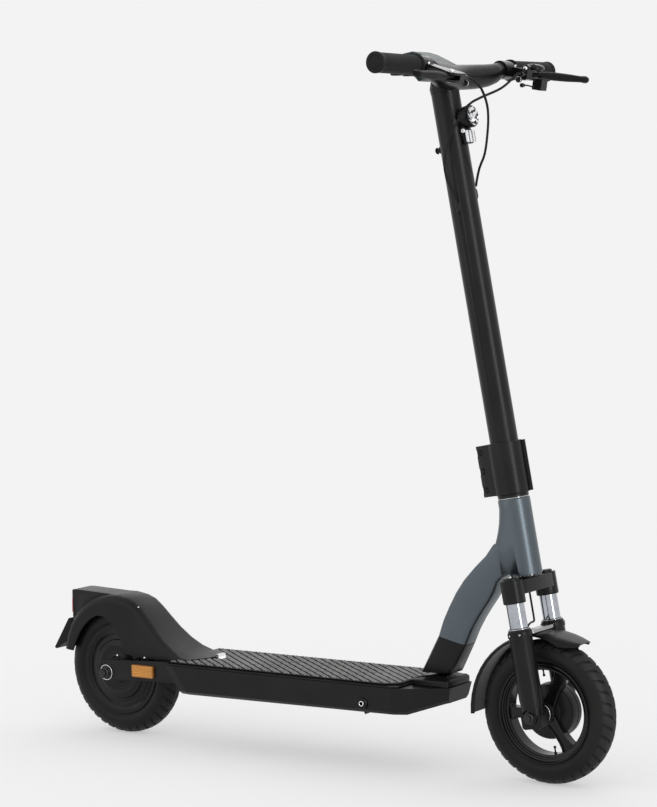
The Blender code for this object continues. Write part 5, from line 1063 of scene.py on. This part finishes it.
CAMERA_PLACE = (2.62869, -3.72308, 1.00123)
CAMERA_LOOK = (-0.569439, 0.818279, -0.078473)
CAMERA_ROLL = math.radians(-1.5736)
SENSOR = 24
FOCAL_PIXELS = 2530.4
IMAGE_HEIGHT = 807
MIDDLE = Vector((0.15, 0.0, 0.55))
ROOM = (0.93, 0.93, 0.93, 1.0)
BACKDROP = (0.896, 0.896, 0.896, 1.0)
FLOOR_COLOUR = (0.50, 0.50, 0.50, 1.0)
FLOOR_GLOW = (0.431, 0.431, 0.431)
FLOOR_R = 9
FLOOR_Z = -0.0004
# Name, degrees round from the camera, distance, lift, width, height, brightness
LIGHTS = (
    ("key", 36, 2.6, 0.5, 0.50, 2.8, 7.0),
    ("fill", -62, 3.0, 0.7, 3.4, 2.6, 0.50),
    ("rim", 150, 2.4, 2.2, 2.2, 1.2, 0.7),
)


def camera():
    """The photo's camera; returns its level sideways direction and the one it looks in."""
    data = bpy.data.cameras.new("camera")
    item = bpy.data.objects.new("camera", data)
    bpy.context.scene.collection.objects.link(item)
    look = Vector(CAMERA_LOOK).normalized()
    right = look.cross(Vector((0, 0, 1))).normalized()
    up = right.cross(look).normalized()
    side = right * math.cos(CAMERA_ROLL) + up * math.sin(CAMERA_ROLL)
    top = up * math.cos(CAMERA_ROLL) - right * math.sin(CAMERA_ROLL)
    place = Matrix((side, top, -look)).transposed().to_4x4()
    place.translation = CAMERA_PLACE
    item.matrix_world = place
    data.sensor_fit = "VERTICAL"
    data.sensor_height = SENSOR
    data.lens = FOCAL_PIXELS / IMAGE_HEIGHT * SENSOR
    bpy.context.scene.camera = item
    return right, look


def softbox(name, place, wide, tall, brightness, floor):
    """A large soft light of a given brightness, aimed at the middle, that lights the scooter only."""
    data = bpy.data.lights.new(name, "AREA")
    data.shape = "RECTANGLE"
    data.size = wide
    data.size_y = tall
    data.energy = brightness * math.pi * wide * tall
    item = bpy.data.objects.new(name, data)
    bpy.context.scene.collection.objects.link(item)
    item.location = place
    item.rotation_euler = (MIDDLE - place).to_track_quat("-Z", "Y").to_euler()
    kept = bpy.data.collections.new(name + ".receivers")
    kept.objects.link(floor)
    item.light_linking.receiver_collection = kept
    kept.collection_objects[0].light_linking.link_state = "EXCLUDE"


def straight_or_mirrored(net):
    """One where the backdrop is seen straight, in gloss or through glass."""
    path = net.add("ShaderNodeLightPath", None, None, "Is Camera Ray")
    return (path + path.of("Is Glossy Ray") + path.of("Is Transmission Ray")).clamped(0.0, 1.0)


def backdrop():
    """An even room of light, seen as the backdrop's grey."""
    world = bpy.data.worlds.new("studio")
    bpy.context.scene.world = world
    world.use_nodes = True
    net = Net(world.node_tree)
    plain = world.node_tree.nodes["Background"]
    plain.inputs["Color"].default_value = ROOM
    seen = net.add("ShaderNodeBackground", None, {"Color": BACKDROP, "Strength": 1.0})
    values = {0: straight_or_mirrored(net), 1: Wire(net, plain.outputs[0]), 2: seen}
    both = net.add("ShaderNodeMixShader", None, values)
    net.feed(world.node_tree.nodes["World Output"].inputs["Surface"], both)


def ground():
    """A matt disc that takes the scooter's shadow and fades into the backdrop."""
    mesh = bpy.data.meshes.new("floor")
    ring = [(FLOOR_R * c, FLOOR_R * s, FLOOR_Z) for c, s in circle(96)]
    mesh.from_pydata(ring, [], [list(range(96))])
    floor = bpy.data.objects.new("floor", mesh)
    bpy.context.scene.collection.objects.link(floor)
    pale = bpy.data.materials.new("floor")
    pale.use_nodes = True
    shader = pale.node_tree.nodes["Principled BSDF"]
    shader.inputs["Roughness"].default_value = 1.0
    shader.inputs[SPECULAR].default_value = 0.0
    shader.inputs["Base Color"].default_value = FLOOR_COLOUR
    net = Net(pale.node_tree)
    glow = tint(net, straight_or_mirrored(net), (0.0, 0.0, 0.0), FLOOR_GLOW)
    net.feed(shader.inputs["Emission Color"], glow)
    shader.inputs["Emission Strength"].default_value = 1.0
    mesh.materials.append(pale)
    return floor


def studio():
    """Camera, backdrop, floor and three soft lights."""
    right, look = camera()
    backdrop()
    floor = ground()
    for name, degrees, far, lift, wide, tall, brightness in LIGHTS:
        turn = math.radians(degrees)
        place = MIDDLE + (right * math.sin(turn) - look * math.cos(turn)) * far + Vector((0, 0, lift))
        softbox(name, place, wide, tall, brightness, floor)
    bpy.context.scene.view_settings.view_transform = "Standard"


studio()

for element in units:
    bpy.data.objects.remove(element)
